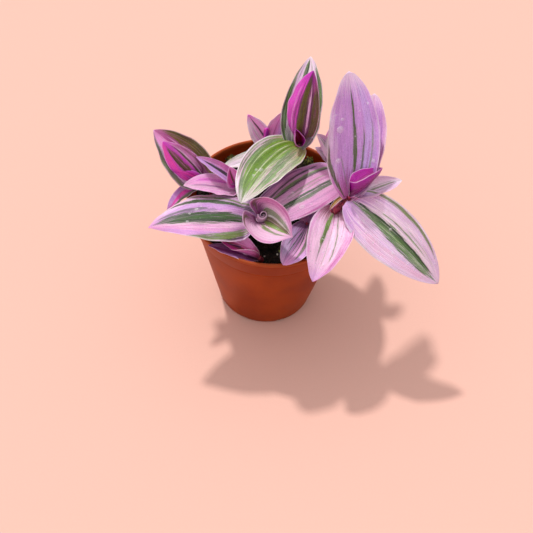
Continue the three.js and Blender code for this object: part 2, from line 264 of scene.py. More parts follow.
# Each shoot: its radius, the points its stem runs through, and its leaves. A leaf's row holds the place
# along the stem, the bearing it points toward, its swing aside, rise, droop to the tip, length, width,
# roll, fold, cup and colouring, in mm and degrees, and then what only some leaves have.
LEAF_COLUMNS = ("at", "toward", "swing", "rise", "droop", "length", "width", "roll", "fold", "cup", "look")
LEAF_DEFAULTS = dict(offset=(0, 0, 0), clasp=CLASP_ANGLE, clasp_reach=CLASP_REACH, blunt=0, steps=None)
SHOOTS = {
    "shoot_right": (3.1, [(27, -8, 60), (28, -10, 74), (33, -13, 87), (39, -13, 96), (41, -13, 101)], [
        (0.55, 268, -22, 9, 42, 44, 24, 0, 8, 16, "rim_leaf", dict(offset=(0, 1.6, -1.9))),
        (0.8, 328, 10, -12, 31, 66, 30, -35, 6, 8, "bold_stripe", dict(offset=(0, -0.6, 0.8), clasp=20,
         blunt=0.05)),
        (0.85, 88, 20, 62, 12, 65, 28, 0, 6, 20, "tall_lilac", dict(blunt=0.5)),
        (0.9, 12, 24, 12, 16, 30, 15, 0, 20, 20, "pale_streaks"),
        (0.9, 2, 54, 45, 20, 22.5, 20, 19, 35, 56, "magenta_funnel", dict(offset=(0, -1.9, 2.3), clasp=210,
         clasp_reach=0.39)),
        (0.8, 60, 30, 50, 16, 56, 21, 0, 10, 20, "plain_pink", dict(blunt=0.4)),
        (0.72, 218, 0, -22, 12, 10, 4.5, 0, 25, 60, "dry_sheath", dict(offset=(-1, 2.4, 1), clasp=120)),
    ]),
    "shoot_back": (3, [(10, 24, 60), (10, 24, 74), (11, 23, 88), (12, 21, 100)], [
        (0.85, 218, 33, 15, 27, 53, 27, 0, 6, 12, "green_cream", dict(offset=(2, 0, 3), clasp=15,
         blunt=0.15)),
        (0.88, 73, 16, 72.5, 36, 49.5, 23, 9, 8, 20, "green_sides"),
        (0.97, 231, -4, 82, -29, 47.5, 20, -12, 8, 24, "olive_magenta", dict(offset=(-0.1, -0.4, 2.3))),
        (0.95, 190, 0, 78, 0, 11.5, 13, 75, 20, 80, "dark_hollow", dict(offset=(0.5, -2.5, 4), clasp=150,
         clasp_reach=0.6)),
    ]),
    "shoot_back_left": (2.4, [(-4, 35, 60), (-4, 36, 74), (-5, 37, 84)], [
        (0.6, 213, 0, 10, 10, 30, 10, 0, 15, 20, "cream_leaf", dict(offset=(0, -2, -0.5))),
        (0.85, 162, 0, 62, 8, 22, 12, 50, 12, 20, "dark_midrib"),
        (0.9, 15, 0, 77, 0, 25, 13, -50, 12, 30, "plain_pink", dict(offset=(3.5, 0, 0))),
        (0.95, 277, 0, 80, 0, 13, 9, 0, 20, 110, "magenta_roll"),
    ]),
    "shoot_back_right": (2.4, [(30, 18, 60), (31, 19, 74), (33, 22, 86)], [
        (0.8, 134, 20, 30, 10, 14, 8, 0, 15, 20, "pale_streaks", dict(offset=(0, 1, 3))),
        (0.9, 118, 36, 44, 10, 18, 9, 20, 15, 20, "pale_streaks", dict(offset=(0, 1, 3))),
        (0.9, 60, 0, 62, 12, 36, 18, 0, 12, 20, "dark_midrib"),
        (0.85, 84, 0, 30, 24, 32, 16, 0, 12, 20, "rim_leaf"),
    ]),
    "shoot_left": (2.8, [(-31, 6, 60), (-31, 6, 72), (-34, 5, 79), (-37, 4, 83)], [
        (0.75, 198, 48, 6, 24, 29, 10, 0, 20, 30, "pink_ridge"),
        (0.8, 154, 10, 42, 0, 41, 25, 30, 8, 20, "olive_edge"),
        (0.97, 194, -22, 56, 2, 36, 17, -118, 10, 30, "olive_lines"),
        (1, 187, 0, 32, 0, 20, 12, -20, 20, 100, "magenta_roll"),
    ]),
    "shoot_left_inner": (2.4, [(-17, 5, 60), (-17, 5, 74), (-18, 4, 85)], [
        (0.85, 199, 6, 31, 8, 32, 17, 0, 12, 20, "soft_stripe", dict(offset=(-1.5, -2.5, -2))),
        (0.9, 172, 0, 41, 12, 28, 10, 10, 15, 20, "grey_stripe"),
        (0.95, 178, 0, 76, 0, 14, 12, 60, 20, 30, "brown_stripe", dict(offset=(-1.5, -1, 0))),
    ]),
    "shoot_centre": (3, [(-7, -6, 60), (-7, -8, 73), (-6, -18, 82), (-2, -27, 89)], [
        (0.68, 184, 22, 25, 33, 59, 35, -4, 0, -18, "green_centre", dict(blunt=-0.4)),
        (0.62, 29, 2, 29, 29, 54, 27, -10, 4, -10, "fanned_stripes", dict(blunt=1)),
        (1, 296, 40, 56, 74, 22.5, 37, -34, 10, 25, "heart_funnel", dict(offset=(-1, 0.5, 1.5), clasp=150,
         clasp_reach=0.85, blunt=-1, steps=8)),
    ]),
    "shoot_front_right": (2.4, [(19, -15, 60), (19, -15, 74), (20, -17, 80)], [
        (0.9, 268, -34, 20, 34, 31, 18, 0, 10, 10, "grey_lilac_fan", dict(blunt=0.5)),
        (0.8, 90, 0, 20, 10, 20, 13, 0, 10, 20, "plain_pink"),
    ]),
    "shoot_front_left": (2.2, [(-3, -34, 60), (-3, -36, 71), (-4, -38, 75)], [
        (0.9, 166, -6, 20, 12, 23, 16, 0, 10, 36, "hot_pink_lines", dict(offset=(-0.5, 0, 0.5), clasp=150,
         clasp_reach=0.75, blunt=-0.5)),
        (0.75, 175, 0, 19, 8, 27, 9, 0, 10, 20, "purple", dict(offset=(-1, -1.6, 0.4))),
    ]),
}

# Young leaves rolled tight in the middle of a shoot: the foot of the roll, its way, length and radius.
ROLLS = {
    "shoot_centre": ((-3.5, -23.3, 87.2), (0, -0.33, 0.94), 10, 3.5),
    "shoot_front_left": ((-9, -34.5, 73.5), (-0.4, -0.4, 0.8), 6.5, 2),
}

# Colourings. bands run along the leaf, from its left rim (-1) to its right rim (1) seen from its foot,
# foot and tip tint its ends, veil its lines and rim its rims. face tells which face this describes, and
# inner is the other face of a roll. A stripe is where it starts and ends across, where it starts and ends
# along (0 to 1), its half widths there, its colour and strength, and a bend where it has one.
# Where a look uses the two brightest pinks, they are painted sunlight that makes leaves lying in shade look
# sunlit.
LOOKS = {
    "bold_stripe": dict(
        bands={-1: "pale_lilac", -0.7: "pale_lilac", -0.3: "white_pink", 0.3: "pale_lilac",
               0.6: "pale_pink", 1: "pale_lilac"},
        foot="lilac", tip="pale_lilac", veil=("white_pink", 0.5), stripes=[
            (-0.1, 0.2, 0.02, 0.99, 0.08, 0.32, "mid_green", 0.97, -0.05),
            (-0.17, -0.08, 0.02, 0.97, 0.035, 0.045, "dark_green", 0.9, -0.03),
            (-0.07, 0.06, 0.2, 0.95, 0.02, 0.03, "deep_green", 0.7, -0.04),
            (0, 0.2, 0.3, 0.9, 0.015, 0.015, "pale_green", 0.5, -0.04),
            (0.12, 0.42, 0.3, 0.96, 0.02, 0.025, "deep_green", 0.7),
            (-0.38, -0.38, 0.28, 0.78, 0.03, 0.02, "grey_green", 0.85),
            (-0.52, -0.5, 0.5, 0.9, 0.02, 0.015, "grey_green", 0.5),
            (-0.93, -0.86, 0.05, 0.85, 0.07, 0.04, "leaf_green", 0.85),
            (0.96, 0.97, 0.1, 0.7, 0.02, 0.02, "grey_green", 0.5)]),
    "tall_lilac": dict(
        bands={-1: "pale_lilac", -0.6: "lilac", -0.2: "lilac", 0.25: "lilac", 0.6: "blue_lilac",
               1: "lilac"},
        foot="rose", tip="white_pink", stripes=[
            (0.12, -0.02, 0.1, 0.92, 0.075, 0.035, "moss", 0.97, 0.03),
            (0.36, 0.42, 0.15, 0.6, 0.04, 0.02, "moss", 0.8),
            (0.66, 0.76, 0.15, 0.66, 0.03, 0.02, "grey_green", 0.7),
            (0.55, 0.62, 0.2, 0.5, 0.015, 0.01, "mauve", 0.7),
            (-0.55, -0.98, 0.02, 0.66, 0.09, 0.05, "moss", 0.85, -0.18),
            (-0.2, -0.45, 0.1, 0.36, 0.02, 0.02, "grey_green", 0.6)]),
    "rim_leaf": dict(
        bands={-1: "rose", -0.85: "pink", -0.5: "pale_pink", -0.1: "pale_pink", 0.3: "pale_pink",
               0.7: "pale_pink", 1: "pink"},
        foot="crimson", tip="lilac", stripes=[
            (-0.12, -0.5, 0.06, 0.8, 0.03, 0.03, "grey_green", 0.9),
            (0.16, 0.33, 0.06, 0.6, 0.09, 0.09, "leaf_green", 0.95),
            (0.22, 0.35, 0.3, 0.8, 0.05, 0.02, "moss", 0.8),
            (0, -0.08, 0.3, 0.9, 0.02, 0.015, "grey_green", 0.6),
            (0, 0, 0.05, 0.5, 0.02, 0.01, "rose", 0.7)]),
    "green_centre": dict(
        bands={-1: "lilac", -0.6: "pink", -0.3: "pale_pink", 0.3: "lilac", 0.7: "pale_lilac",
               1: "pale_pink"},
        foot="mauve", tip="pink", stripes=[
            (-0.1, 0.05, 0.03, 0.99, 0.14, 0.36, "deep_green", 0.98, -0.1),
            (-0.2, -0.14, 0.05, 0.9, 0.05, 0.04, "dark_green", 0.9, -0.1),
            (0.06, 0.2, 0.2, 0.9, 0.03, 0.04, "dark_green", 0.6, -0.1),
            (0.2, 0.45, 0.4, 0.96, 0.06, 0.1, "deep_green", 0.7),
            (0.4, 0.92, 0.05, 0.8, 0.08, 0.09, "deep_green", 0.95, -0.08),
            (0.62, 1, 0.05, 0.62, 0.05, 0.04, "leaf_green", 0.85, -0.08),
            (-0.7, -1.05, 0.06, 0.75, 0.1, 0.1, "leaf_green", 0.9),
            (-0.84, -1.1, 0.06, 0.6, 0.04, 0.03, "dark_green", 0.8),
            (-0.58, -0.86, 0.06, 0.6, 0.035, 0.03, "grey_green", 0.85)]),
    "fanned_stripes": dict(
        bands={-1: "mauve", -0.7: "pink", -0.1: "pink", 0.15: "pale_pink", 0.5: "pink", 0.8: "pink",
               1: "rose"},
        foot="plum", tip="pink", stripes=[
            (-0.28, -0.65, 0.12, 0.97, 0.1, 0.06, "dark_green", 0.9),
            (-0.34, -0.74, 0.2, 0.97, 0.05, 0.04, "grey_green", 0.8),
            (0.26, 0.04, 0.15, 0.97, 0.05, 0.06, "dark_green", 0.97),
            (0.36, 0.2, 0.15, 0.97, 0.08, 0.09, "deep_green", 0.9),
            (-0.48, -0.88, 0.15, 0.85, 0.05, 0.03, "dark_green", 0.85),
            (-0.05, -0.3, 0.3, 0.85, 0.03, 0.03, "grey_green", 0.6),
            (0.08, -0.14, 0.3, 0.8, 0.02, 0.02, "grey_green", 0.5),
            (0.6, 0.55, 0.4, 0.9, 0.02, 0.02, "mauve", 0.5)]),
    "heart_funnel": dict(
        bands={-1: "rose", -0.8: "pink", -0.5: "pale_pink", 0.5: "pale_pink", 0.8: "pale_pink", 1: "pink"},
        foot="plum", tip="pink", stripes=[
            (-0.06, -0.1, 0, 0.98, 0.16, 0.2, "olive", 0.9),
            (0.02, 0.06, 0.1, 0.96, 0.05, 0.05, "bright_green", 0.8),
            (-0.32, -0.34, 0.05, 0.96, 0.12, 0.08, "grey_green", 0.85),
            (-0.2, -0.2, 0.2, 0.9, 0.02, 0.02, "white_pink", 0.6),
            (0.16, 0.36, 0.15, 0.9, 0.05, 0.04, "leaf_green", 0.85),
            (-0.78, -1, 0.04, 0.42, 0.06, 0.04, "olive_grey", 0.8),
            (0.76, 1, 0.04, 0.45, 0.05, 0.04, "olive", 0.8)]),
    "green_cream": dict(
        bands={-1: "pale_green", -0.85: "pale_pink", -0.6: "pale_green", -0.4: "pale_pink",
               -0.1: "pale_green", 0.3: "mid_green", 0.68: "grey_green", 0.82: "pale_pink",
               1: "white_pink"},
        foot="yellow_green", tip="white_pink", veil=("leaf_green", 0.7), stripes=[
            (0.34, 0.16, 0, 0.98, 0.46, 0.3, "bright_green", 0.9, -0.02),
            (0.2, -0.1, 0.02, 0.9, 0.05, 0.05, "leaf_green", 0.9, -0.05),
            (0.46, 0.32, 0.02, 0.95, 0.06, 0.06, "leaf_green", 0.9, -0.05),
            (0.3, 0.08, 0.05, 0.9, 0.015, 0.015, "cream", 0.6, -0.05),
            (0.12, -0.2, 0.05, 0.9, 0.015, 0.015, "cream", 0.6, -0.05),
            (0.56, 0.45, 0.05, 0.9, 0.015, 0.015, "cream", 0.5, -0.02),
            (0, -0.5, 0.05, 0.9, 0.08, 0.07, "mid_green", 0.85, -0.1),
            (-0.3, -0.8, 0.05, 0.9, 0.08, 0.07, "mid_green", 0.8),
            (-0.16, -0.66, 0.05, 0.9, 0.03, 0.02, "deep_green", 0.6, -0.05),
            (-0.7, -0.95, 0.05, 0.85, 0.06, 0.06, "mid_green", 0.7),
            (0.72, 0.68, 0.05, 0.9, 0.06, 0.05, "mid_green", 0.85),
            (0.84, 0.82, 0.05, 0.88, 0.02, 0.02, "deep_green", 0.6),
            (0.92, 0.92, 0.05, 0.85, 0.03, 0.02, "mid_green", 0.8)]),
    "green_sides": dict(
        bands={-1: "grey_green", -0.72: "pale_lilac", -0.2: "white_pink", 0.4: "white_pink",
               0.8: "pale_lilac", 1: "grey_green"},
        foot="deep_green", tip="white_pink", stripes=[
            (-0.84, -0.92, 0.05, 0.74, 0.16, 0.12, "mid_green", 0.95),
            (-0.9, -0.96, 0.05, 0.7, 0.06, 0.05, "dark_green", 0.8),
            (-0.74, -0.84, 0.1, 0.7, 0.025, 0.02, "dark_green", 0.7),
            (0.85, 0.86, 0.3, 0.95, 0.12, 0.12, "mid_green", 0.95),
            (0.72, 0.72, 0.4, 0.95, 0.03, 0.03, "dark_green", 0.8),
            (0.62, 0.6, 0.5, 0.95, 0.04, 0.04, "white_pink", 0.7),
            (-0.35, -0.2, 0.6, 0.99, 0.06, 0.24, "mid_green", 0.95),
            (-0.28, -0.1, 0.66, 0.97, 0.02, 0.08, "dark_green", 0.8),
            (0.25, 0.3, 0.6, 0.97, 0.03, 0.06, "leaf_green", 0.7)]),
    "olive_magenta": dict(
        bands={-1: "olive_grey", -0.8: "rose", -0.5: "plum", 0: "plum", 0.3: "hot_pink", 0.7: "hot_pink",
               1: "hot_pink"},
        face="under", foot="deep_magenta", tip="magenta", veil=("plum", 0.3), stripes=[
            (-0.15, -0.16, 0.06, 0.98, 0.2, 0.24, "olive", 0.95),
            (-0.3, -0.32, 0.1, 0.9, 0.04, 0.05, "plum", 0.7),
            (-0.42, -0.42, 0.1, 0.9, 0.045, 0.05, "bright_pink", 0.8),
            (-0.78, -0.8, 0.05, 0.85, 0.24, 0.2, "olive_grey", 0.92),
            (0.34, 0.3, 0.1, 0.9, 0.05, 0.04, "plum", 0.7),
            (0.5, 0.5, 0.1, 0.85, 0.04, 0.04, "bright_pink", 0.5)]),
    "olive_lines": dict(
        bands={-1: "rose", -0.6: "pink", -0.3: "hot_pink", 0.3: "hot_pink", 0.6: "neon_pink",
               1: "hot_pink"},
        face="under", foot="plum", tip="hot_pink", stripes=[
            (0.12, 0.08, 0.1, 0.92, 0.2, 0.24, "olive", 0.92),
            (0.22, 0.24, 0.1, 0.88, 0.05, 0.06, "dark_green", 0.7),
            (-0.34, -0.5, 0.05, 0.85, 0.06, 0.05, "moss", 0.9, 0.05),
            (-0.44, -0.6, 0.05, 0.85, 0.02, 0.02, "white_pink", 0.8, 0.05),
            (-0.75, -0.9, 0.08, 0.8, 0.04, 0.03, "olive_grey", 0.6, 0.05)]),
    "olive_edge": dict(
        bands={-1: "grey_lilac", -0.85: "grey_green", -0.68: "pale_lilac", -0.5: "bright_pink",
               0: "bright_pink", 0.3: "rose", 0.5: "rose", 1: "light_olive"},
        foot="plum", tip="pink", stripes=[
            (0.78, 0.74, 0, 0.98, 0.3, 0.24, "light_olive", 0.95),
            (0.9, 0.86, 0.1, 0.95, 0.05, 0.05, "dark_green", 0.6),
            (0.36, 0.35, 0.1, 0.9, 0.02, 0.02, "pale_pink", 0.6),
            (-0.9, -0.9, 0.1, 0.95, 0.1, 0.08, "grey_green", 0.85),
            (-0.78, -0.8, 0.1, 0.95, 0.03, 0.03, "dark_green", 0.7),
            (0.2, 0.15, 0.15, 0.8, 0.02, 0.02, "olive_grey", 0.5)]),
    # This leaf lies in shade; its brightest pinks are painted sunlight.
    "soft_stripe": dict(
        bands={-1: "bright_pink", -0.4: "pale_pink", 0: "pale_pink", 0.4: "bright_pink", 1: "bright_pink"},
        foot="pink", tip="pale_pink", stripes=[
            (-0.15, -0.2, 0.12, 0.85, 0.05, 0.04, "hot_pink", 0.5),
            (0.1, 0.15, 0.2, 0.9, 0.06, 0.04, "mauve", 0.7),
            (0.5, 0.6, 0.1, 0.8, 0.1, 0.08, "hot_pink", 0.6),
            (-0.5, -0.5, 0.2, 0.8, 0.06, 0.05, "hot_pink", 0.5)]),
    "grey_stripe": dict(
        bands={-1: "blue_lilac", 0: "lilac", 0.4: "pink", 0.7: "rose", 1: "rose"},
        foot="plum", tip="lilac", stripes=[
            (0, 0.1, 0.05, 0.9, 0.26, 0.12, "dark_green", 0.9),
            (-0.2, -0.1, 0.1, 0.85, 0.03, 0.03, "blue_lilac", 0.8),
            (-0.5, -0.6, 0.2, 0.8, 0.05, 0.03, "grey_green", 0.5)]),
    # This leaf lies in shade; its brightest pinks are painted sunlight.
    "brown_stripe": dict(
        bands={-1: "bright_pink", -0.4: "neon_pink", 0.2: "bright_pink", 0.5: "neon_pink",
               1: "bright_pink"},
        inner={-1: "bright_pink", -0.4: "neon_pink", 0.2: "bright_pink", 0.5: "neon_pink",
               1: "bright_pink"},
        face="under", foot="hot_pink", tip="bright_pink", veil=("rose", 0.3), stripes=[
            (-0.05, -0.2, 0.05, 0.95, 0.12, 0.1, "olive", 0.9)]),
    "magenta_roll": dict(
        bands={-1: "hot_pink", -0.5: "neon_pink", -0.1: "magenta", 0.2: "hot_pink", 0.7: "neon_pink",
               1: "hot_pink"},
        inner={-1: "hot_pink", 0: "deep_magenta", 1: "hot_pink"},
        face="under", foot="magenta", tip="hot_pink", rim=0.3, veil=("deep_magenta", 0.4), stripes=[
            (-0.6, -0.8, 0.25, 0.8, 0.04, 0.04, "deep_magenta", 0.5),
            (0.6, 0.8, 0.25, 0.8, 0.04, 0.04, "deep_magenta", 0.5)]),
    # The young roll's inner face, dark plum up to its top, is painted shade inside the roll.
    "young_roll": dict(
        bands={-1: "tan", -0.7: "olive_brown", -0.4: "mauve", 0.2: "pale_pink", 1: "pale_pink"},
        inner={-1: "olive_brown", -0.6: "dark_plum", 0: "dark_plum", 1: "plum"},
        foot="plum", tip="pale_pink", rim=0.2, stripes=[]),
    # A small cupped leaf: the crimson in its middle is painted shade in its hollow.
    "dark_hollow": dict(
        bands={-1: "hot_pink", -0.75: "magenta", -0.45: "crimson", 0.5: "crimson", 0.8: "magenta",
               1: "hot_pink"},
        foot="dark_plum", tip="magenta", rim=0.15, veil=("magenta", 0.2), stripes=[]),
    "magenta_funnel": dict(
        bands={-1: "magenta", -0.6: "magenta", 0.4: "deep_magenta", 1: "magenta"},
        inner={-1: "hot_pink", -0.3: "rose", 0.3: "hot_pink", 1: "hot_pink"},
        face="under", foot="dark_plum", tip="magenta", rim=0.7, veil=("deep_magenta", 0.3), stripes=[]),
    "pale_streaks": dict(
        bands={-1: "pale_pink", -0.3: "white_pink", 0.4: "pale_lilac", 1: "pale_pink"},
        foot="rose", tip="white_pink", stripes=[
            (0, -0.25, 0.15, 0.95, 0.06, 0.06, "grey_green", 0.8),
            (0.2, 0.12, 0.2, 0.9, 0.03, 0.03, "deep_green", 0.6),
            (-0.15, -0.45, 0.2, 0.9, 0.02, 0.02, "deep_green", 0.5)]),
    # This leaf faces away from the sun; its brightest pinks are painted sunlight.
    "dark_midrib": dict(
        bands={-1: "white_pink", -0.4: "white_pink", 0.2: "bright_pink", 0.6: "bright_pink",
               1: "white_pink"},
        foot="bright_pink", tip="hot_pink", veil=("white_pink", 0.5), stripes=[
            (0.22, 0.05, 0.1, 0.92, 0.1, 0.07, "dark_green", 0.9),
            (-0.5, -0.5, 0.1, 0.8, 0.03, 0.02, "hot_pink", 0.5),
            (-0.3, -0.4, 0.2, 0.7, 0.03, 0.02, "grey_green", 0.4)]),
    "plain_pink": dict(
        bands={-1: "pale_pink", -0.3: "bright_pink", 0.2: "lilac", 0.6: "lilac", 1: "pale_pink"},
        foot="pink", tip="white_pink", stripes=[
            (-0.2, -0.3, 0.15, 0.8, 0.06, 0.04, "rose", 0.6),
            (0.35, 0.45, 0.2, 0.75, 0.03, 0.02, "grey_green", 0.6),
            (0.85, 0.9, 0.1, 0.6, 0.1, 0.05, "mauve", 0.7)]),
    "cream_leaf": dict(
        bands={-1: "cream", -0.2: "white_pink", 0.4: "white_pink", 1: "pale_green"},
        foot="pale_green", tip="white_pink", stripes=[
            (0.1, 0, 0.05, 0.8, 0.12, 0.06, "grey_green", 0.4),
            (0.5, 0.6, 0.1, 0.7, 0.06, 0.04, "bright_green", 0.3)]),
    "grey_lilac_fan": dict(
        bands={-1: "lilac", -0.3: "pink", 0.2: "mauve", 0.6: "grey_lilac", 1: "mauve"},
        foot="plum", tip="pink", stripes=[
            (-0.12, -0.6, 0.05, 0.85, 0.08, 0.12, "moss", 0.85),
            (-0.02, -0.2, 0.05, 0.85, 0.035, 0.025, "dark_green", 0.95),
            (0.08, 0.34, 0.03, 0.86, 0.04, 0.025, "dark_green", 0.95),
            (0.03, 0.08, 0.05, 0.8, 0.03, 0.02, "dark_green", 0.85),
            (0.2, 0.62, 0.05, 0.7, 0.03, 0.02, "dark_green", 0.8),
            (-0.2, -0.85, 0.05, 0.7, 0.04, 0.04, "dark_green", 0.8)]),
    # This leaf lies in the shade of the leaves above it; its brightest pinks are painted sunlight.
    "hot_pink_lines": dict(
        bands={-1: "neon_pink", -0.5: "neon_pink", -0.1: "olive_brown", 0.1: "neon_pink",
               0.4: "bright_pink", 1: "bright_pink"},
        foot="crimson", tip="neon_pink", veil=("rose", 0.3), stripes=[
            (0.02, 0.02, 0.15, 0.95, 0.08, 0.06, "olive_brown", 0.9),
            (0.22, 0.22, 0.15, 0.85, 0.03, 0.02, "olive_brown", 0.7),
            (-0.3, -0.3, 0.2, 0.9, 0.02, 0.02, "rose", 0.6)]),
    "dry_sheath": dict(
        bands={-1: "rose", -0.5: "tan", 0: "cream", 0.3: "tan", 0.6: "yellow_green", 1: "olive"},
        foot="tan", tip="olive_brown", veil=("olive_brown", 0.6), stripes=[
            (0.1, 0.1, 0.1, 0.9, 0.04, 0.04, "crimson", 0.5)]),
    "pink_ridge": dict(
        bands={-1: "deep_green", -0.4: "grey_green", -0.1: "mauve", 0.1: "neon_pink", 0.4: "lilac",
               1: "lilac"},
        foot="plum", tip="pink", stripes=[
            (-0.7, -0.6, 0.1, 0.9, 0.2, 0.1, "deep_green", 0.7)]),
    "purple": dict(
        bands={-1: "lilac", -0.7: "mauve", -0.3: "deep_magenta", 0.3: "plum", 1: "plum"},
        foot="dark_plum", tip="mauve", stripes=[
            (-0.2, -0.2, 0.1, 0.85, 0.06, 0.04, "olive_grey", 0.4)]),
}

# The other faces: undersides are purple, and the insides of rolls pale.
UNDER_BANDS = {-1: "rose", -0.5: "mauve", 0: "rose", 0.5: "mauve", 1: "rose"}
INNER_BANDS = {-1: "pale_pink", -0.4: "lilac", 0.3: "pink", 1: "pale_pink"}

# Water on leaves: drops as a place across, a place along and a radius, and how many more are strewn.
DROPLETS = {
    ("shoot_right", 0): ([(-0.2, 0.78, 0.9), (0.1, 0.62, 0.7), (-0.5, 0.4, 0.6)], 24),
    ("shoot_right", 1): ([(0.48, 0.54, 1.3), (0.72, 0.44, 0.7), (0.3, 0.19, 0.9), (0.62, 0.36, 0.7),
                          (-0.12, 0.4, 1), (0.55, 0.27, 0.6), (-0.55, 0.5, 0.7), (0.7, 0.3, 0.6)], 50),
    ("shoot_right", 2): ([(-0.5, 0.56, 2.1), (-0.55, 0.31, 1.6), (0.74, 0.75, 0.9), (0.1, 0.5, 0.6),
                          (0.8, 0.32, 1.2), (-0.42, 0.64, 1.1)], 34),
    ("shoot_back", 0): ([(0.05, 0.57, 1.4), (0.15, 0.67, 0.9), (0.2, 0.6, 1)], 20),
    ("shoot_back", 1): ([], 16),
    ("shoot_centre", 0): ([(0.25, 0.55, 1.4), (-0.3, 0.66, 1), (0.1, 0.62, 0.9), (0.35, 0.5, 0.8)], 26),
    ("shoot_centre", 1): ([(0.6, 0.42, 1.5), (-0.15, 0.42, 1.1), (-0.05, 0.52, 0.7), (0.65, 0.52, 0.8)], 20),
    ("shoot_centre", 2): ([(-0.3, 0.7, 0.6)], 12),
}

# Moss cushions: a place on the soil, radius, height and number of blades.
MOSS_TUFTS = [
    (-23.5, 31, 3.2, 5.5, 90), (-13.5, 37, 2.6, 5.5, 80), (19.5, 34, 2.8, 4.5, 80), (25, 27, 2.4, 2.5, 50),
    (7, -28, 1.6, 1, 20), (30, -22, 2.4, 1.5, 36), (-30, -18, 2.6, 1.5, 40), (36, 6, 1.8, 1.2, 24),
]


def linear(name, lift=1.0):
    """A palette colour as linear red, green, blue and alpha, made lighter or darker by lift."""
    def channel(c):
        c /= 255
        return min(1.0, lift * (c / 12.92 if c <= 0.04045 else ((c + 0.055) / 1.055) ** 2.4))
    return tuple(channel(c) for c in PALETTE[name]) + (1.0,)


def smooth(t):
    """0 up to 0, 1 from 1 on, and a soft step between."""
    k = np.clip(t, 0, 1)
    return k * k * (3 - 2 * k)


def lerp(a, b, t):
    return a + (b - a) * t


def unit(v):
    return v / np.linalg.norm(v)


# Materials.

class Graph:
    """Short calls for making the nodes of a material, a node group or the world."""

    def __init__(self, tree):
        self.tree = tree

    def put(self, socket, value):
        if isinstance(value, bpy.types.NodeSocket):
            self.tree.links.new(value, socket)
        else:
            socket.default_value = value

    def node(self, kind, inputs=None, **settings):
        made = self.tree.nodes.new("ShaderNode" + kind)
        for key, value in settings.items():
            setattr(made, key, value)
        for key, value in (inputs or {}).items():
            self.put(made.inputs[key], value)
        return made

    def math(self, operation, *values):
        return self.node("Math", dict(enumerate(values)), operation=operation).outputs[0]

    def plus(self, a, b):
        return self.math("ADD", a, b)

    def minus(self, a, b):
        return self.math("SUBTRACT", a, b)

    def times(self, a, b):
        return self.math("MULTIPLY", a, b)

    def slide(self, a, b, t):
        """From a at t = 0 to b at t = 1."""
        return self.plus(a, self.times(t, self.minus(b, a)))

    def sway(self, value, amount):
        """A value from 0 to 1 as a shift to either side, by the amount in all."""
        return self.times(self.minus(value, 0.5), amount)

    def soft(self, value, low, high):
        """0 at low, 1 at high and a smooth step between."""
        return self.node("MapRange", {"Value": value, "From Min": low, "From Max": high},
                         interpolation_type="SMOOTHSTEP").outputs[0]

    def mix(self, factor, a, b, blend="MIX"):
        return self.node("Mix", {0: factor, 6: a, 7: b}, data_type="RGBA", blend_type=blend).outputs[2]

    def grey(self, value):
        return self.node("CombineColor", {"Red": value, "Green": value, "Blue": value}).outputs[0]

    def where(self, *stretch):
        """The place on the object in metres, stretched where three factors are given."""
        place = self.node("TexCoord").outputs["Object"]
        if stretch:
            place = self.node("VectorMath", {0: place, 1: stretch}, operation="MULTIPLY").outputs[0]
        return place

    def noise(self, vector, scale, detail=2.0, roughness=0.5):
        return self.node("TexNoise", {"Vector": vector, "Scale": scale, "Detail": detail,
                                      "Roughness": roughness}).outputs["Fac"]

    def ramp(self, factor, stops):
        """A colour ramp: stops are places from 0 to 1 with a palette colour each."""
        made = self.node("ValToRGB", {"Fac": factor})
        points = made.color_ramp.elements
        while len(points) < len(stops):
            points.new(0.5)
        for point, (place, colour) in zip(points, sorted(stops.items())):
            point.position = place
            point.color = linear(colour)
        return made.outputs["Color"]


class Surface(Graph):
    """The node graph of a new material."""

    def __init__(self, name):
        self.material = bpy.data.materials.new(name)
        self.material.use_nodes = True
        super().__init__(self.material.node_tree)
        self.shader = self.tree.nodes["Principled BSDF"].inputs

    def done(self, colour, rough, relief=None, **values):
        """Finishes the material: its colour, what its roughness follows and between which two ends, its
        relief as height, strength and depth in mm, and values of other sockets by name."""
        self.put(self.shader["Base Color"], colour)
        value, low, high = rough
        self.put(self.shader["Roughness"], self.node("MapRange", {"Value": value, "To Min": low,
                                                                  "To Max": high}).outputs[0])
        if relief:
            height, strength, depth = relief
            self.put(self.shader["Normal"], self.node("Bump", {"Height": height, "Strength": strength,
                                                               "Distance": depth * MM}).outputs[0])
        for key, value in values.items():
            self.shader[key.replace("_", " ")].default_value = value
        return self.material


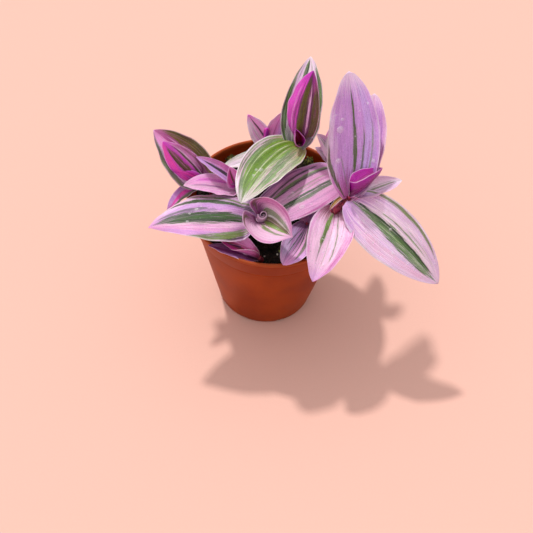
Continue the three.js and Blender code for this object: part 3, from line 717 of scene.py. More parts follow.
def stripe_group():
    """A node group: the mask of one stripe, which starts at one place on a leaf and ends at another.

    Its edges and its ends are ragged along the streaks, a wide one lets some of the leaf show between its
    streaks, and a faint halo lies round it."""
    tree = bpy.data.node_groups.new("stripe", "ShaderNodeTree")
    for name in ("Across", "Along", "Fine", "Gaps", "From across", "To across", "From along", "To along",
                 "From half", "To half", "Bend"):
        tree.interface.new_socket(name, in_out="INPUT", socket_type="NodeSocketFloat")
    tree.interface.new_socket("Mask", in_out="OUTPUT", socket_type="NodeSocketFloat")
    g = Graph(tree)
    given = tree.nodes.new("NodeGroupInput").outputs
    fray = g.minus(given["Fine"], 0.5)
    t = g.math("DIVIDE", g.minus(given["Along"], given["From along"]),
               g.minus(given["To along"], given["From along"]))
    arch = g.times(g.times(t, g.minus(1.0, t)), 4.0)
    centre = g.plus(g.slide(given["From across"], given["To across"], t), g.times(arch, given["Bend"]))
    half = g.slide(given["From half"], given["To half"], t)
    ragged = g.plus(t, g.times(fray, END_FRAY))
    ends = g.times(g.soft(ragged, 0.0, 0.2), g.minus(1.0, g.soft(ragged, 0.75, 1.0)))
    width = g.times(half, g.math("SQRT", ends))
    feather = g.times(fray, g.plus(EDGE_FRAY, g.times(half, EDGE_SHARE)))
    inside = g.plus(feather, g.minus(width, g.math("ABSOLUTE", g.minus(given["Across"], centre))))
    open_share = g.math("MINIMUM", g.times(half, OPEN_BY_WIDTH), OPEN_MOST)
    core = g.times(g.soft(inside, -STRIPE_EDGE, STRIPE_EDGE),
                   g.minus(1.0, g.times(open_share, g.soft(given["Gaps"], 0.55, 0.95))))
    halo = g.times(g.soft(inside, -HALO, HALO / 2), HALO_SHARE)
    mask = g.times(g.math("MAXIMUM", core, halo), g.soft(ends, 0.0, 0.2))
    g.put(tree.nodes.new("NodeGroupOutput").inputs["Mask"], mask)
    return tree


STRIPE = stripe_group()


def leaf_material(name, leaf, look, bands, stripe_tint, seed):
    """One face of one leaf: bands run along it, stripes lie over them, and streaks follow the veins."""
    s = Surface(name)
    place = s.node("SeparateXYZ", {"Vector": s.node("UVMap", uv_map="leaf").outputs[0]}).outputs
    along = place["Y"]
    across = s.minus(s.times(place["X"], 2.0), 1.0)
    side_mm = s.times(across, leaf["width"] / 2)
    along_mm = s.times(along, leaf["length"])

    def spot(across_scale, along_scale, step):
        return s.node("CombineXYZ", {"X": s.times(side_mm, across_scale), "Y": s.times(along_mm, along_scale),
                                     "Z": seed + step}).outputs[0]

    def streaks(kind):
        return s.soft(s.noise(spot(*kind), 1.0, 3.0, 0.6), 0.34, 0.66)

    def tinted(colour, value, tint, shade):
        low, high, strength = tint
        return s.mix(s.times(s.soft(value, low, high), strength), colour, linear(shade))
    fine, gaps, broad = streaks(FINE_STREAKS), streaks(GAP_STREAKS), streaks(BROAD_STREAKS)
    drift = s.plus(s.sway(broad, 0.16), s.sway(fine, 0.06))
    colour = s.ramp(s.plus(place["X"], drift), {(u + 1) / 2: shade for u, shade in bands.items()})
    frayed = s.plus(along, s.sway(gaps, 0.12))
    colour = tinted(colour, frayed, TIP_TINT, look["tip"])
    colour = tinted(colour, frayed, FOOT_TINT, look["foot"])
    tone = s.plus(0.84, s.plus(s.times(fine, 0.2), s.times(gaps, 0.14)))
    colour = s.mix(1.0, colour, s.grey(tone), "MULTIPLY")
    veil_shade, veil = look.get("veil", ("grey_lilac", 0.2))
    lines = s.times(s.soft(gaps, 0.62, 0.9), s.minus(1.0, s.soft(fine, 0.6, 0.9)))
    colour = s.mix(s.times(lines, veil), colour, linear(veil_shade))
    for row in look["stripes"]:
        shade, strength = row[6:8]
        group = s.node("Group", node_tree=STRIPE)
        for socket, value in zip(group.inputs, (across, along, fine, gaps, *row[:6], *row[8:])):
            s.put(socket, value)
        hue = stripe_tint or shade
        paint = s.mix(fine, linear(hue, STRIPE_DARK), linear(hue, STRIPE_LIGHT))
        colour = s.mix(s.times(group.outputs[0], strength), colour, paint)
    rim = (*RIM_TINT[:2], look.get("rim", RIM_TINT[2]))
    colour = tinted(colour, s.math("ABSOLUTE", across), rim, "white_pink")
    cells = s.soft(s.noise(spot(2.4, 1.4, 0), 1.0, 3.0, 0.7), 0.36, 0.64)
    patches = s.soft(s.noise(spot(1.0, 1.0, 0), 0.16), 0.35, 0.65)
    hues = s.mix(patches, linear("pale_pink"), linear("blue_lilac"))
    colour = s.mix(PATCH_TINT, colour, hues, "SOFT_LIGHT")
    colour = s.mix(CELL_TINT, colour, s.grey(cells), "SOFT_LIGHT")
    veins = s.math("SINE", s.times(side_mm, TURN / VEIN_SPACING))
    height = s.plus(s.times(veins, 0.25), s.plus(s.times(fine, 0.5), s.times(cells, 0.5)))
    return s.done(colour, rough=(fine, 0.42, 0.26), relief=(height, 0.5, 0.14), Subsurface_Weight=0.45,
                  Subsurface_Radius=(1.0, 0.6, 0.8), Subsurface_Scale=1.0 * MM, Specular_IOR_Level=0.5)


def stem_material():
    """Stems of dark and rosy red with a little tan, streaked along their length."""
    s = Surface("stem")
    long = s.noise(s.where(900.0, 900.0, 60.0), 1.0)
    tones = s.plus(s.times(long, 0.6), s.times(s.noise(s.where(), 220.0, 3.0), 0.5))
    colour = s.ramp(tones, {0.3: "dark_plum", 0.45: "crimson", 0.65: "rose_red", 0.9: "tan"})
    return s.done(colour, rough=(long, 0.3, 0.5), relief=(long, 0.4, 0.3), Subsurface_Weight=0.2,
                  Subsurface_Scale=1.5 * MM)


def sheath_material():
    """A thin dark red sheath with lines of rose, tan and cream."""
    s = Surface("sheath")
    lines = s.noise(s.where(1500.0, 1500.0, 120.0), 1.0)
    colour = s.ramp(lines, {0.3: "dark_plum", 0.45: "crimson", 0.6: "rose_red", 0.75: "tan", 0.85: "cream"})
    return s.done(colour, rough=(lines, 0.35, 0.5), Subsurface_Weight=0.4, Subsurface_Scale=0.8 * MM)


def pot_material():
    """Moulded terracotta-coloured plastic: a fine grain, faint rings from the mould, dusty scuffs and a
    painted highlight along the top of the lip.
    """
    s = Surface("pot_plastic")
    where = s.where()
    height = s.node("SeparateXYZ", {"Vector": where}).outputs["Z"]
    cloud = s.noise(where, 38.0, 4.0)
    grain = s.noise(where, 2600.0)
    scuffs = s.noise(s.where(60.0, 60.0, 900.0), 1.0, 4.0, 0.7)
    colour = s.mix(s.soft(cloud, 0.35, 0.7), POT_DARK, POT_LIGHT)
    # Painted highlight: the top of the lip is made paler, as where light catches it.
    top = s.soft(height, (POT_HEIGHT - 3) * MM, (POT_HEIGHT - 0.5) * MM)
    for dust_and_highlight in (s.times(s.soft(scuffs, 0.6, 0.8), 0.16), s.times(top, 0.3), s.sway(grain, 0.25)):
        colour = s.mix(dust_and_highlight, colour, POT_DUST_AND_HIGHLIGHT)
    rings = s.math("SINE", s.times(height, TURN / (MOULD_RING * MM)))
    relief = s.plus(s.times(rings, 0.12), grain)
    return s.done(colour, rough=(cloud, 0.38, 0.55), relief=(relief, 0.25, 0.08), Specular_IOR_Level=0.12,
                  Subsurface_Weight=0.3, Subsurface_Radius=(1.0, 0.22, 0.06), Subsurface_Scale=3.0 * MM)


def soil_material():
    """Nearly black soil with browner lumps and a few pale specks."""
    s = Surface("potting_soil")
    lumps = s.noise(s.where(), 420.0, 4.0, 0.65)
    specks = s.noise(s.where(), 1500.0)
    colour = s.ramp(lumps, {0.35: "soil_black", 0.55: "soil_dark", 0.68: "soil_brown", 0.85: "soil_light"})
    colour = s.mix(s.times(s.soft(specks, 0.64, 0.74), 0.25), colour, linear("soil_pale"))
    return s.done(colour, rough=(specks, 0.65, 0.95), relief=(lumps, 0.8, 0.5), Specular_IOR_Level=0.15)


def perlite_material():
    s = Surface("perlite")
    colour = s.mix(s.noise(s.where(), 900.0, 3.0), linear("perlite"), linear("perlite", 0.45))
    return s.done(colour, rough=(s.noise(s.where(), 1700.0), 0.7, 0.9))


def moss_material():
    """Moss mottled at random from nearly black through olive and yellow-green to a greyish pale green."""
    s = Surface("moss")
    tufts = s.noise(s.where(), 900.0, 3.0)
    colour = s.ramp(tufts, {0.42: "soil_dark", 0.54: "olive", 0.66: "moss_tuft", 0.85: "pale_green"})
    return s.done(colour, rough=(tufts, 0.6, 0.8))


def water_painted_reflection_material():
    s = Surface("water")
    # The near-white base colour, seen through the low alpha, is a painted reflection of the bright studio in
    # the drops.
    return s.done((1.0, 0.96, 1.0, 1.0), rough=(s.noise(s.where(), 500.0), 0.0, 0.05), IOR=1.33,
                  Specular_IOR_Level=1.0, Alpha=0.26)


def floor_material():
    s = Surface("floor")
    s.put(s.shader["Base Color"], s.mix(s.noise(s.where(), 900.0), FLOOR_COLOUR, FLOOR_GRAIN))
    s.shader["Roughness"].default_value = 0.9
    s.shader["Specular IOR Level"].default_value = 0.1
    return s.material


# Shapes.

def grid_faces(rows, columns, first=0, closed=False, flip=False):
    """Quads between rows of points that lie in one list, row after row."""
    faces = []
    for i in range(rows - 1):
        for j in range(columns if closed else columns - 1):
            k = (j + 1) % columns
            a, b = first + i * columns + j, first + i * columns + k
            quad = (a, b, b + columns, a + columns)
            faces.append(quad[::-1] if flip else quad)
    return faces


def sheet_faces(rows, columns, first_is_top):
    """Faces of a thin sheet with points on its first and then on its second side, and which side's
    material each has. The edge has the lower side's."""
    count = rows * columns
    faces = (grid_faces(rows, columns, flip=not first_is_top)
             + grid_faces(rows, columns, first=count, flip=first_is_top))
    ring = ([(0, j) for j in range(columns)] + [(i, columns - 1) for i in range(1, rows)]
            + [(rows - 1, j) for j in range(columns - 2, -1, -1)] + [(i, 0) for i in range(rows - 2, 0, -1)])
    ring = [i * columns + j for i, j in ring]
    edge = [(a, a + count, b + count, b) if first_is_top else (a, b, b + count, a + count)
            for a, b in zip(ring, ring[1:] + ring[:1])]
    a_side = len(faces) // 2
    return faces + edge, [0] * a_side + [1] * a_side + [1 if first_is_top else 0] * len(edge)


def joined(parts):
    """One list of points and one of faces from those of many parts."""
    points, faces = [], []
    for some, some_faces in parts:
        faces += [tuple(v + len(points) for v in face) for face in some_faces]
        points += list(some)
    return points, faces


def ring_round(centre, side, other, radius, sides):
    """Points on a circle round a centre, in the plane of two directions."""
    angles = np.arange(sides) / sides * TURN
    return centre + radius * (np.cos(angles)[:, None] * side + np.sin(angles)[:, None] * other)


def tube(line, radii, sides=20):
    """A round tube along a line of points, with its ends closed."""
    line = np.asarray(line, float)
    tangents = np.gradient(line, axis=0)
    tangents /= np.linalg.norm(tangents, axis=1)[:, None]
    side = np.cross([0.0, 1.0, 0.0], tangents[0])
    rings = []
    for centre, tangent, radius in zip(line, tangents, radii):
        side = unit(side - tangent * np.dot(side, tangent))
        rings.append(ring_round(centre, side, np.cross(tangent, side), radius, sides))
    faces = grid_faces(len(rings), sides, closed=True)
    last = (len(rings) - 1) * sides
    return np.concatenate(rings), faces + [tuple(range(sides))[::-1], tuple(range(last, last + sides))]


def dome(rings, sides, spot, top):
    """A closed dome: spot(i, a) is the point of ring i at the angle a, and top its highest point."""
    points = [spot(i, j / sides * TURN) for i in range(rings) for j in range(sides)] + [top]
    last = rings * sides
    faces = grid_faces(rings, sides, closed=True) + [tuple(range(sides))[::-1]]
    return points, faces + [(last - sides + j, last - sides + (j + 1) % sides, last) for j in range(sides)]


def new_object(name, points, faces):
    """An object in the scene, from points in mm and faces."""
    mesh = bpy.data.meshes.new(name)
    mesh.from_pydata((np.asarray(points, float) * MM).tolist(), [], faces)
    mesh.update()
    made = bpy.data.objects.new(name, mesh)
    bpy.context.scene.collection.objects.link(made)
    return made


def make_piece(name, shape, materials, replaced, indices=None, places=None, smooth_faces=True):
    """A piece from points in mm and faces. indices gives each face its material, and places each point
    its spot on a leaf."""
    piece = new_object(name, *shape)
    mesh = piece.data
    for material in materials:
        mesh.materials.append(material)
    if indices is not None:
        mesh.polygons.foreach_set("material_index", indices)
    if places is not None:
        corners = np.zeros(len(mesh.loops), dtype=np.int32)
        mesh.loops.foreach_get("vertex_index", corners)
        mesh.uv_layers.new(name="leaf").data.foreach_set("uv", np.asarray(places, float)[corners].ravel())
    mesh.polygons.foreach_set("use_smooth", [smooth_faces] * len(mesh.polygons))
    mesh.validate()
    mesh.update()
    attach(piece, "root")
    if replaced:
        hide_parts(replaced)
    return piece


def curve_point(points, t):
    """A point on the smooth curve through the given points, the same curve as the solids' stems."""
    p = [np.array(q, float) for q in points]
    last = len(p) - 1
    i = min(int(last * t), last - 1)
    w = last * t - i
    a, b = p[i], p[i + 1]
    before = p[i - 1] if i > 0 else 2 * a - b
    after = p[i + 2] if i + 2 <= last else 2 * b - a
    gaps = [np.sum((m - n) ** 2) ** 0.25 for m, n in ((before, a), (a, b), (b, after))]
    start = ((a - before) / gaps[0] - (b - before) / (gaps[0] + gaps[1]) + (b - a) / gaps[1]) * gaps[1]
    end = ((b - a) / gaps[1] - (after - a) / (gaps[1] + gaps[2]) + (after - b) / gaps[2]) * gaps[1]
    return a + start * w + (3 * (b - a) - 2 * start - end) * w ** 2 + (2 * (a - b) + start + end) * w ** 3


# Leaves.

def width_share(v, blunt):
    """A leaf's width at places v along it, by its greatest width."""
    tip = TIP_POWER - BLUNTING * blunt
    widest = ROOT_POWER / (ROOT_POWER + tip)

    def shape(t):
        return (ROOT_FRACTION + (1 - ROOT_FRACTION) * t) ** ROOT_POWER * (1 - t) ** tip
    return np.maximum(shape(v) / shape(widest), LEAST_WIDTH)


def leaf_axes(leaf, v):
    """The directions along a leaf, towards its right side and out of its upper face, at places v along it."""
    bearing = np.radians(leaf["toward"] + leaf["swing"] * v)
    rise = np.radians(leaf["rise"] - leaf["droop"] * v)
    along = np.stack([np.cos(rise) * np.cos(bearing), np.cos(rise) * np.sin(bearing), np.sin(rise)], -1)
    up = np.stack([-np.sin(rise) * np.cos(bearing), -np.sin(rise) * np.sin(bearing), np.cos(rise)], -1)
    across = np.cross(along, up)
    roll = math.radians(leaf["roll"])
    return along, across * math.cos(roll) + up * math.sin(roll), up * math.cos(roll) - across * math.sin(roll)


def leaf_surface(leaf, us, vs):
    """Points and normals of a leaf's middle surface, a row for each v and a column for each u."""
    coarse = leaf["steps"] or (LONG_STEPS if leaf["length"] > LONG_LEAF else SHORT_STEPS)
    fine = np.linspace(0, 1, PATH_STEPS + 1)
    along = leaf_axes(leaf, np.minimum(fine + 0.5 / coarse, 1 + 0.5 / coarse))[0]
    path = np.vstack([np.zeros(3), np.cumsum((along[1:] + along[:-1]) / 2, axis=0)])
    path *= leaf["length"] / PATH_STEPS
    centre = leaf["root"] + np.stack([np.interp(vs, fine, path[:, k]) for k in range(3)], -1)
    _, side, face = (axis[:, None, :] for axis in leaf_axes(leaf, vs))
    v = vs[:, None]
    u = us[None, :]
    share = np.abs(u)
    half = leaf["width"] / 2 * width_share(v, leaf["blunt"])
    clasp = 1 - smooth(v / leaf["clasp_reach"])
    turn = np.radians(leaf["cup"] + (leaf["clasp"] - leaf["cup"]) * clasp) * share
    turn = np.where(np.abs(turn) < 1e-6, 1e-6, turn)
    fold = math.radians(leaf["fold"])
    reach = half * share / turn
    out = (reach * (np.sin(fold + turn) - math.sin(fold)) * np.sign(u))[..., None]
    lift = (reach * (math.cos(fold) - np.cos(fold + turn)))[..., None]
    lean = ((fold + turn) * np.sign(u))[..., None]
    normal = face * np.cos(lean) - side * np.sin(lean)
    seed = leaf["seed"]
    ripple = (np.sin(v * 17 + seed + u) + 0.6 * np.sin(v * 29 + 2 * seed - 2 * u)) * share ** 2
    wave = RIM_WAVE * min(1.0, leaf["length"] / 50) * ripple * smooth(v / 0.2) * smooth((1 - v) / 0.15)
    groove = GROOVE * np.exp(-(u * half / GROOVE_WIDTH) ** 2) * smooth(v / 0.15) * smooth((1 - v) / 0.1)
    offset = wave - groove * min(1.0, leaf["width"] / 20)
    return centre[:, None, :] + side * out + face * lift + normal * offset[..., None], normal


def leaf_from_row(node, stem, index, row):
    """A leaf's measures by name, its foot on the stem, and a seed of its own."""
    leaf = dict(LEAF_DEFAULTS, **dict(zip(LEAF_COLUMNS, row)), **dict(*row[len(LEAF_COLUMNS):]))
    leaf["root"] = curve_point(stem, leaf["at"]) + leaf["offset"]
    leaf["seed"] = 3.7 * index + 1.3 * len(node) + abs(leaf["root"][0]) * 0.1
    return leaf


def make_leaf(name, node, leaf):
    """A blade that is thin at its rims and tip. The columns of its mesh lie closer together at both rims."""
    across, steps = FINE_MESH if leaf["length"] > FINE_MESH_LENGTH else SMALL_MESH
    x = np.linspace(-1, 1, across + 1)
    us = x * (1.5 - 0.5 * x * x)
    vs = np.linspace(0, 1, steps + 1)
    middle, normal = leaf_surface(leaf, us, vs)
    thick = BLADE_RIM + (BLADE - BLADE_RIM) * (1 - us ** 6)
    thick = np.outer(1 - TIP_THINNING * smooth((vs - 0.85) / 0.15), thick)
    half = normal * thick[..., None] / 2
    points = np.concatenate([(middle + half).reshape(-1, 3), (middle - half).reshape(-1, 3)])
    faces, indices = sheet_faces(steps + 1, across + 1, first_is_top=True)
    places = np.stack(np.broadcast_arrays((us[None, :] + 1) / 2, vs[:, None]), -1).reshape(-1, 2)
    look = LOOKS[leaf["look"]]
    if look.get("face") == "under":
        upper, lower, lower_tint = look.get("inner", INNER_BANDS), look["bands"], None
    else:
        upper, lower, lower_tint = look["bands"], UNDER_BANDS, "olive_grey"
    materials = [leaf_material(f"{name}_upper", leaf, look, upper, None, leaf["seed"]),
                 leaf_material(f"{name}_under", leaf, look, lower, lower_tint, leaf["seed"])]
    make_piece(name, (points, faces), materials, node, indices, np.concatenate([places, places]))


def make_roll(name, node, foot, way, length, radius):
    """A young leaf rolled into a tight spiral tube that narrows to its top; its dark plum inner face is
    painted shade.
    """
    way = unit(np.array(way, float))
    side = unit(np.cross(way, [0.0, 1.0, 0.0]))
    other = np.cross(way, side)
    around, steps = 96, 10
    turns = np.linspace(0, 1, around + 1)
    angles = turns * ROLL_TURNS * TURN
    points = []
    for shrink in (0.0, ROLL_SHEET):
        for v in np.linspace(0, 1, steps + 1):
            r = radius * (1 - ROLL_INWARD * turns) * (1 - ROLL_UPWARD * v) - shrink
            rise = length * v * (1 - ROLL_SLANT * turns - ROLL_DIP * np.cos(angles))
            points.append(np.array(foot) + side * (r * np.cos(angles))[:, None]
                          + other * (r * np.sin(angles))[:, None] + way * rise[:, None])
    faces, indices = sheet_faces(steps + 1, around + 1, first_is_top=False)
    places = np.stack(np.broadcast_arrays(1 - turns[None, :], np.linspace(0, 1, steps + 1)[:, None]), -1)
    leaf = {"width": radius * ROLL_TURNS * 6, "length": length}
    look = LOOKS["young_roll"]
    # The inside's dark plum colours and its dark plum tip are painted shade in the roll's hollow.
    materials = [leaf_material(name, leaf, look, look["bands"], None, 5.0),
                 leaf_material(f"{name}_inside", leaf, dict(look, tip="dark_plum"), look["inner"], None, 5.0)]
    make_piece(name, (np.concatenate(points), faces), materials, node, indices,
               np.tile(places.reshape(-1, 2), (2, 1)))


# Stems.

def stem_radius(shoot, t):
    """A stem's radius at a place along it: it swells at its nodes and is slimmer toward its top."""
    swell = max([0] + [NODE_SWELL * (1 - abs(t - leaf["at"]) / NODE_SPREAD) for leaf in shoot["leaves"]])
    slimmer = STEM_INSET - STEM_SLIMMING * float(smooth((t - SLIM_FROM) / SLIM_SPAN))
    return shoot["radius"] * (1 - STEM_TAPER * t) * (1 + swell) * slimmer


def make_stem(name, node, shoot, material):
    ts = np.linspace(0, STEM_END, STEM_STEPS)
    shape = tube([curve_point(shoot["stem"], t) for t in ts], [stem_radius(shoot, t) for t in ts])
    make_piece(name, shape, [material], node)


def hair(spot, centre, way, rng):
    """A fine three-sided spike that leans out from a stem and along its way."""
    aim = unit(spot - centre) * rng.uniform(*HAIR_OUT) + way * rng.uniform(*HAIR_ALONG)
    aim = unit(aim + rng.normal(size=3) * HAIR_STRAY)
    side = unit(np.cross(aim, way))
    back = np.cross(side, aim) * HAIR_RADIUS
    side = side * HAIR_RADIUS
    tip = spot + aim * HAIR_LENGTH * rng.uniform(*HAIR_LENGTHS)
    return ([spot + side, spot - side / 2 + back, spot - side / 2 - back, tip],
            [(0, 1, 3), (1, 2, 3), (2, 0, 3), (2, 1, 0)])


def make_sheaths(name, node, shoot, material, rng):
    """Where a leaf clasps its stem, a short sleeve stands round the stem with a fringe of fine hairs."""
    parts = []
    length = sum(np.linalg.norm(np.subtract(q, p)) for p, q in zip(shoot["stem"], shoot["stem"][1:]))
    for leaf in shoot["leaves"]:
        if leaf["at"] > STEM_END:
            continue
        ts = np.linspace(leaf["at"] - SHEATH_HEIGHT / length, leaf["at"], 8)
        line = np.array([curve_point(shoot["stem"], max(t, 0.0)) for t in ts])
        swell = SHEATH_THICKNESS * smooth(np.linspace(0, 1, len(ts)) / 0.4)
        sleeve = tube(line, np.array([stem_radius(shoot, t) for t in ts]) + swell, SHEATH_SIDES)
        parts.append(sleeve)
        way = unit(line[-1] - line[-2])
        ring = sleeve[0][-SHEATH_SIDES:]
        for k in range(HAIRS_A_SHEATH):
            edge = (ring[k % SHEATH_SIDES] + ring[(k + 1) % SHEATH_SIDES]) / 2
            parts.append(hair(edge - way * rng.uniform(0, HAIR_DROP), line[-1], way, rng))
    make_piece(name, joined(parts), [material], node)


# The pot.

def body_radius(z):
    return lerp(BASE_RADIUS, BODY_TOP, (z - BASE_EDGE) / (BAND_FOOT - BASE_EDGE))


def band_radius(z):
    return lerp(BAND_FOOT_RADIUS, RIM_RADIUS, (z - BAND_FOOT) / BAND_HEIGHT)


def outer_radius(z):
    return band_radius(z) if z >= BAND_FOOT else body_radius(z)


def inner_radius(z):
    shoulder = float(smooth((z - BAND_FOOT) / SHOULDER_HEIGHT + 0.5))
    return lerp(body_radius(z), band_radius(z), shoulder) - WALL


def rounded(profile, reach, steps=4):
    """A profile with each corner rounded off, the curve starting at most reach from the corner."""
    out = [profile[0]]
    for before, corner, after in zip(profile, profile[1:], profile[2:]):
        corner = np.array(corner, float)
        ends = []
        for neighbour in (before, after):
            way = np.array(neighbour, float) - corner
            size = np.linalg.norm(way)
            ends.append(corner + way / size * min(reach, 0.45 * size))
        for t in np.linspace(0, 1, steps + 1):
            out.append(tuple(ends[0] * (1 - t) ** 2 + corner * 2 * t * (1 - t) + ends[1] * t ** 2))
    return out + [profile[-1]]


def turned(profile, sides):
    """A profile of radius and height turned about +Z. It starts and ends on the axis."""
    axes = np.eye(3)
    rings = [ring_round(axes[2] * z, axes[0], axes[1], r, sides) for r, z in profile[1:-1]]
    points = np.concatenate(rings + [[[0, 0, profile[0][1]], [0, 0, profile[-1][1]]]])
    faces = grid_faces(len(rings), sides, closed=True)
    foot, top, last = len(points) - 2, len(points) - 1, (len(rings) - 1) * sides
    for j in range(sides):
        k = (j + 1) % sides
        faces += [(foot, k, j), (top, last + j, last + k)]
    return points, faces


def pot_profile():
    """The pot's section, from the middle of its underside round the lip to the middle of its floor."""
    lip_foot = POT_HEIGHT - LIP_HEIGHT
    bead = LIP_THICKNESS / 2
    chamfer = bead * 0.3
    shoulder = SHOULDER_HEIGHT / 2
    groove = BODY_TOP - BAND_GROOVE
    groove_foot = BAND_FOOT - GROOVE_FOOT
    lip_curve = lip_foot - LIP_CURVE
    outside = [
        (0, 0), (RECESS_INNER, 0), (RECESS_INNER + RECESS_SLOPE, RECESS_DEPTH),
        (RECESS_OUTER - RECESS_SLOPE, RECESS_DEPTH), (RECESS_OUTER, 0), (RECESS_OUTER + FOOT_WIDTH, 0),
        (BASE_RADIUS - chamfer, FOOT_BEVEL), (BASE_RADIUS, BASE_EDGE),
        (outer_radius(groove_foot), groove_foot), (groove, BAND_FOOT - GROOVE_MIDDLE),
        (groove, BAND_FOOT - BAND_UNDERSIDE), (BAND_FOOT_RADIUS, BAND_FOOT),
        (outer_radius(lip_curve), lip_curve),
        (outer_radius(lip_foot) - LIP_UNDERCUT, lip_foot - LIP_CREASE),
        (outer_radius(lip_foot) + LIP_BULGE, lip_foot + LIP_SWELL),
        (RIM_RADIUS, POT_HEIGHT - bead), (RIM_RADIUS - chamfer, POT_HEIGHT - chamfer),
    ]
    inside = [
        (RIM_RADIUS - bead, POT_HEIGHT), (RIM_RADIUS - LIP_THICKNESS + chamfer, POT_HEIGHT - chamfer),
        (RIM_RADIUS - LIP_THICKNESS, POT_HEIGHT - bead),
    ]
    levels = (lip_foot - INNER_BEVEL, BAND_FOOT + shoulder, BAND_FOOT - shoulder, INNER_FLOOR + INNER_BEVEL)
    inside += [(inner_radius(z), z) for z in levels]
    inside += [(inner_radius(INNER_FLOOR) - INNER_BEVEL, INNER_FLOOR), (0, INNER_FLOOR)]
    return rounded(outside + inside, CORNER_REACH)


def drain_cutters():
    """One object with the eight drain holes and one with the eight foot notches."""
    holes, notches = [], []
    box = [(0, 1, 3, 2), (4, 6, 7, 5), (0, 4, 5, 1), (2, 3, 7, 6), (0, 2, 6, 4), (1, 5, 7, 3)]
    for i in range(DRAIN_COUNT):
        angle = (i + 0.5) / DRAIN_COUNT * TURN
        out = np.array([math.cos(angle), math.sin(angle), 0.0])
        aside = np.array([-out[1], out[0], 0.0])
        line = [out * DRAIN_RING + (0, 0, z) for z in (-2, INNER_FLOOR, INNER_FLOOR * 2)]
        holes.append(tube(line, [DRAIN_RADIUS] * 3, sides=32))
        corners = [out * r + aside * s + (0, 0, z) for r in (BASE_RADIUS - NOTCH_DEPTH, BASE_RADIUS + 6)
                   for s in (-NOTCH_WIDTH / 2, NOTCH_WIDTH / 2) for z in (-NOTCH_HEIGHT, NOTCH_HEIGHT)]
        notches.append((corners, box))
    return [new_object("holes", *joined(holes)), new_object("notches", *joined(notches))]


def make_pot():
    pot = make_piece("pot_wall", turned(pot_profile(), POT_SIDES), [pot_material()], "pot")
    cutters = drain_cutters()
    for cutter in cutters:
        modifier = pot.modifiers.new("cut", "BOOLEAN")
        modifier.operation = "DIFFERENCE"
        modifier.solver = "EXACT"
        modifier.object = cutter
    mesh = bpy.data.meshes.new_from_object(pot.evaluated_get(bpy.context.evaluated_depsgraph_get()))
    pot.modifiers.clear()
    pot.data = mesh
    for cutter in cutters:
        bpy.data.objects.remove(cutter)
    mesh.polygons.foreach_set("use_smooth", [True] * len(mesh.polygons))
    mesh.set_sharp_from_angle(angle=math.radians(SHARP_ANGLE))


# The soil.

def soil_height(x, y):
    """The height of the packed soil, which is uneven in two sizes of waves."""
    swell = np.sin(x * 0.17 + 1.3) * np.cos(y * 0.14 - 0.6)
    clods = np.sin(x * 0.61 + y * 0.23) * np.sin(y * 0.53 - x * 0.31 + 2.1)
    return SOIL_TOP + SOIL_WAVE * (0.5 * swell + 0.5 * clods)


def crumbly_height(x, y):
    """The same height with the fine relief of crumbly soil on it."""
    return (soil_height(x, y)
            + (0.35 * np.sin(x * 1.9 + 0.7 * np.sin(y * 1.3)) * np.sin(y * 2.1 + 1.1 * np.sin(x * 1.7))
               + 0.22 * np.sin(x * 4.3 + y * 1.9 + np.sin(y * 3.1)) * np.sin(y * 4.7 - x * 2.3)
               + 0.12 * np.sin(x * 9.1 - y * 3.7) * np.sin(y * 8.3 + x * 5.9)))


def make_soil(material):
    """The whole filling: a crumbly top, and sides and a floor just clear of the pot."""
    floor = INNER_FLOOR + SOIL_GAP
    shoulder = SHOULDER_HEIGHT / 2

    def edge(z):
        return inner_radius(z) - SOIL_GAP
    profile = [(0, floor), (edge(INNER_FLOOR) - INNER_BEVEL, floor),
               (edge(INNER_FLOOR + INNER_BEVEL) - SOIL_GAP, floor + INNER_BEVEL)]
    profile += [(edge(z), z) for z in (BAND_FOOT - shoulder, BAND_FOOT + shoulder)]
    profile += [(edge(SOIL_TOP) * r, SOIL_TOP) for r in np.linspace(1, 0.012, SOIL_RINGS)] + [(0, SOIL_TOP)]
    points, faces = turned(profile, SOIL_SIDES)
    top = points[:, 2] > SOIL_TOP - 0.01
    points[top, 2] = crumbly_height(points[top, 0], points[top, 1])
    make_piece("soil_fill", (points, faces), [material], "soil")


def lump_shape():
    """A rough ball of 42 points: the corners and edge middles of an icosahedron."""
    ratio = (1 + 5 ** 0.5) / 2
    points = [unit(np.array(p, float)) for p in (
        (-1, ratio, 0), (1, ratio, 0), (-1, -ratio, 0), (1, -ratio, 0), (0, -1, ratio), (0, 1, ratio),
        (0, -1, -ratio), (0, 1, -ratio), (ratio, 0, -1), (ratio, 0, 1), (-ratio, 0, -1), (-ratio, 0, 1))]
    faces = [(0, 11, 5), (0, 5, 1), (0, 1, 7), (0, 7, 10), (0, 10, 11), (1, 5, 9), (5, 11, 4), (11, 10, 2),
             (10, 7, 6), (7, 1, 8), (3, 9, 4), (3, 4, 2), (3, 2, 6), (3, 6, 8), (3, 8, 9), (4, 9, 5),
             (2, 4, 11), (6, 2, 10), (8, 6, 7), (9, 8, 1)]
    middles, split = {}, []

    def middle(a, b):
        key = (min(a, b), max(a, b))
        if key not in middles:
            middles[key] = len(points)
            points.append(unit(points[a] + points[b]))
        return middles[key]
    for a, b, c in faces:
        ab, bc, ca = middle(a, b), middle(b, c), middle(c, a)
        split += [(a, ab, ca), (b, bc, ab), (c, ca, bc), (ab, bc, ca)]
    return np.array(points), split


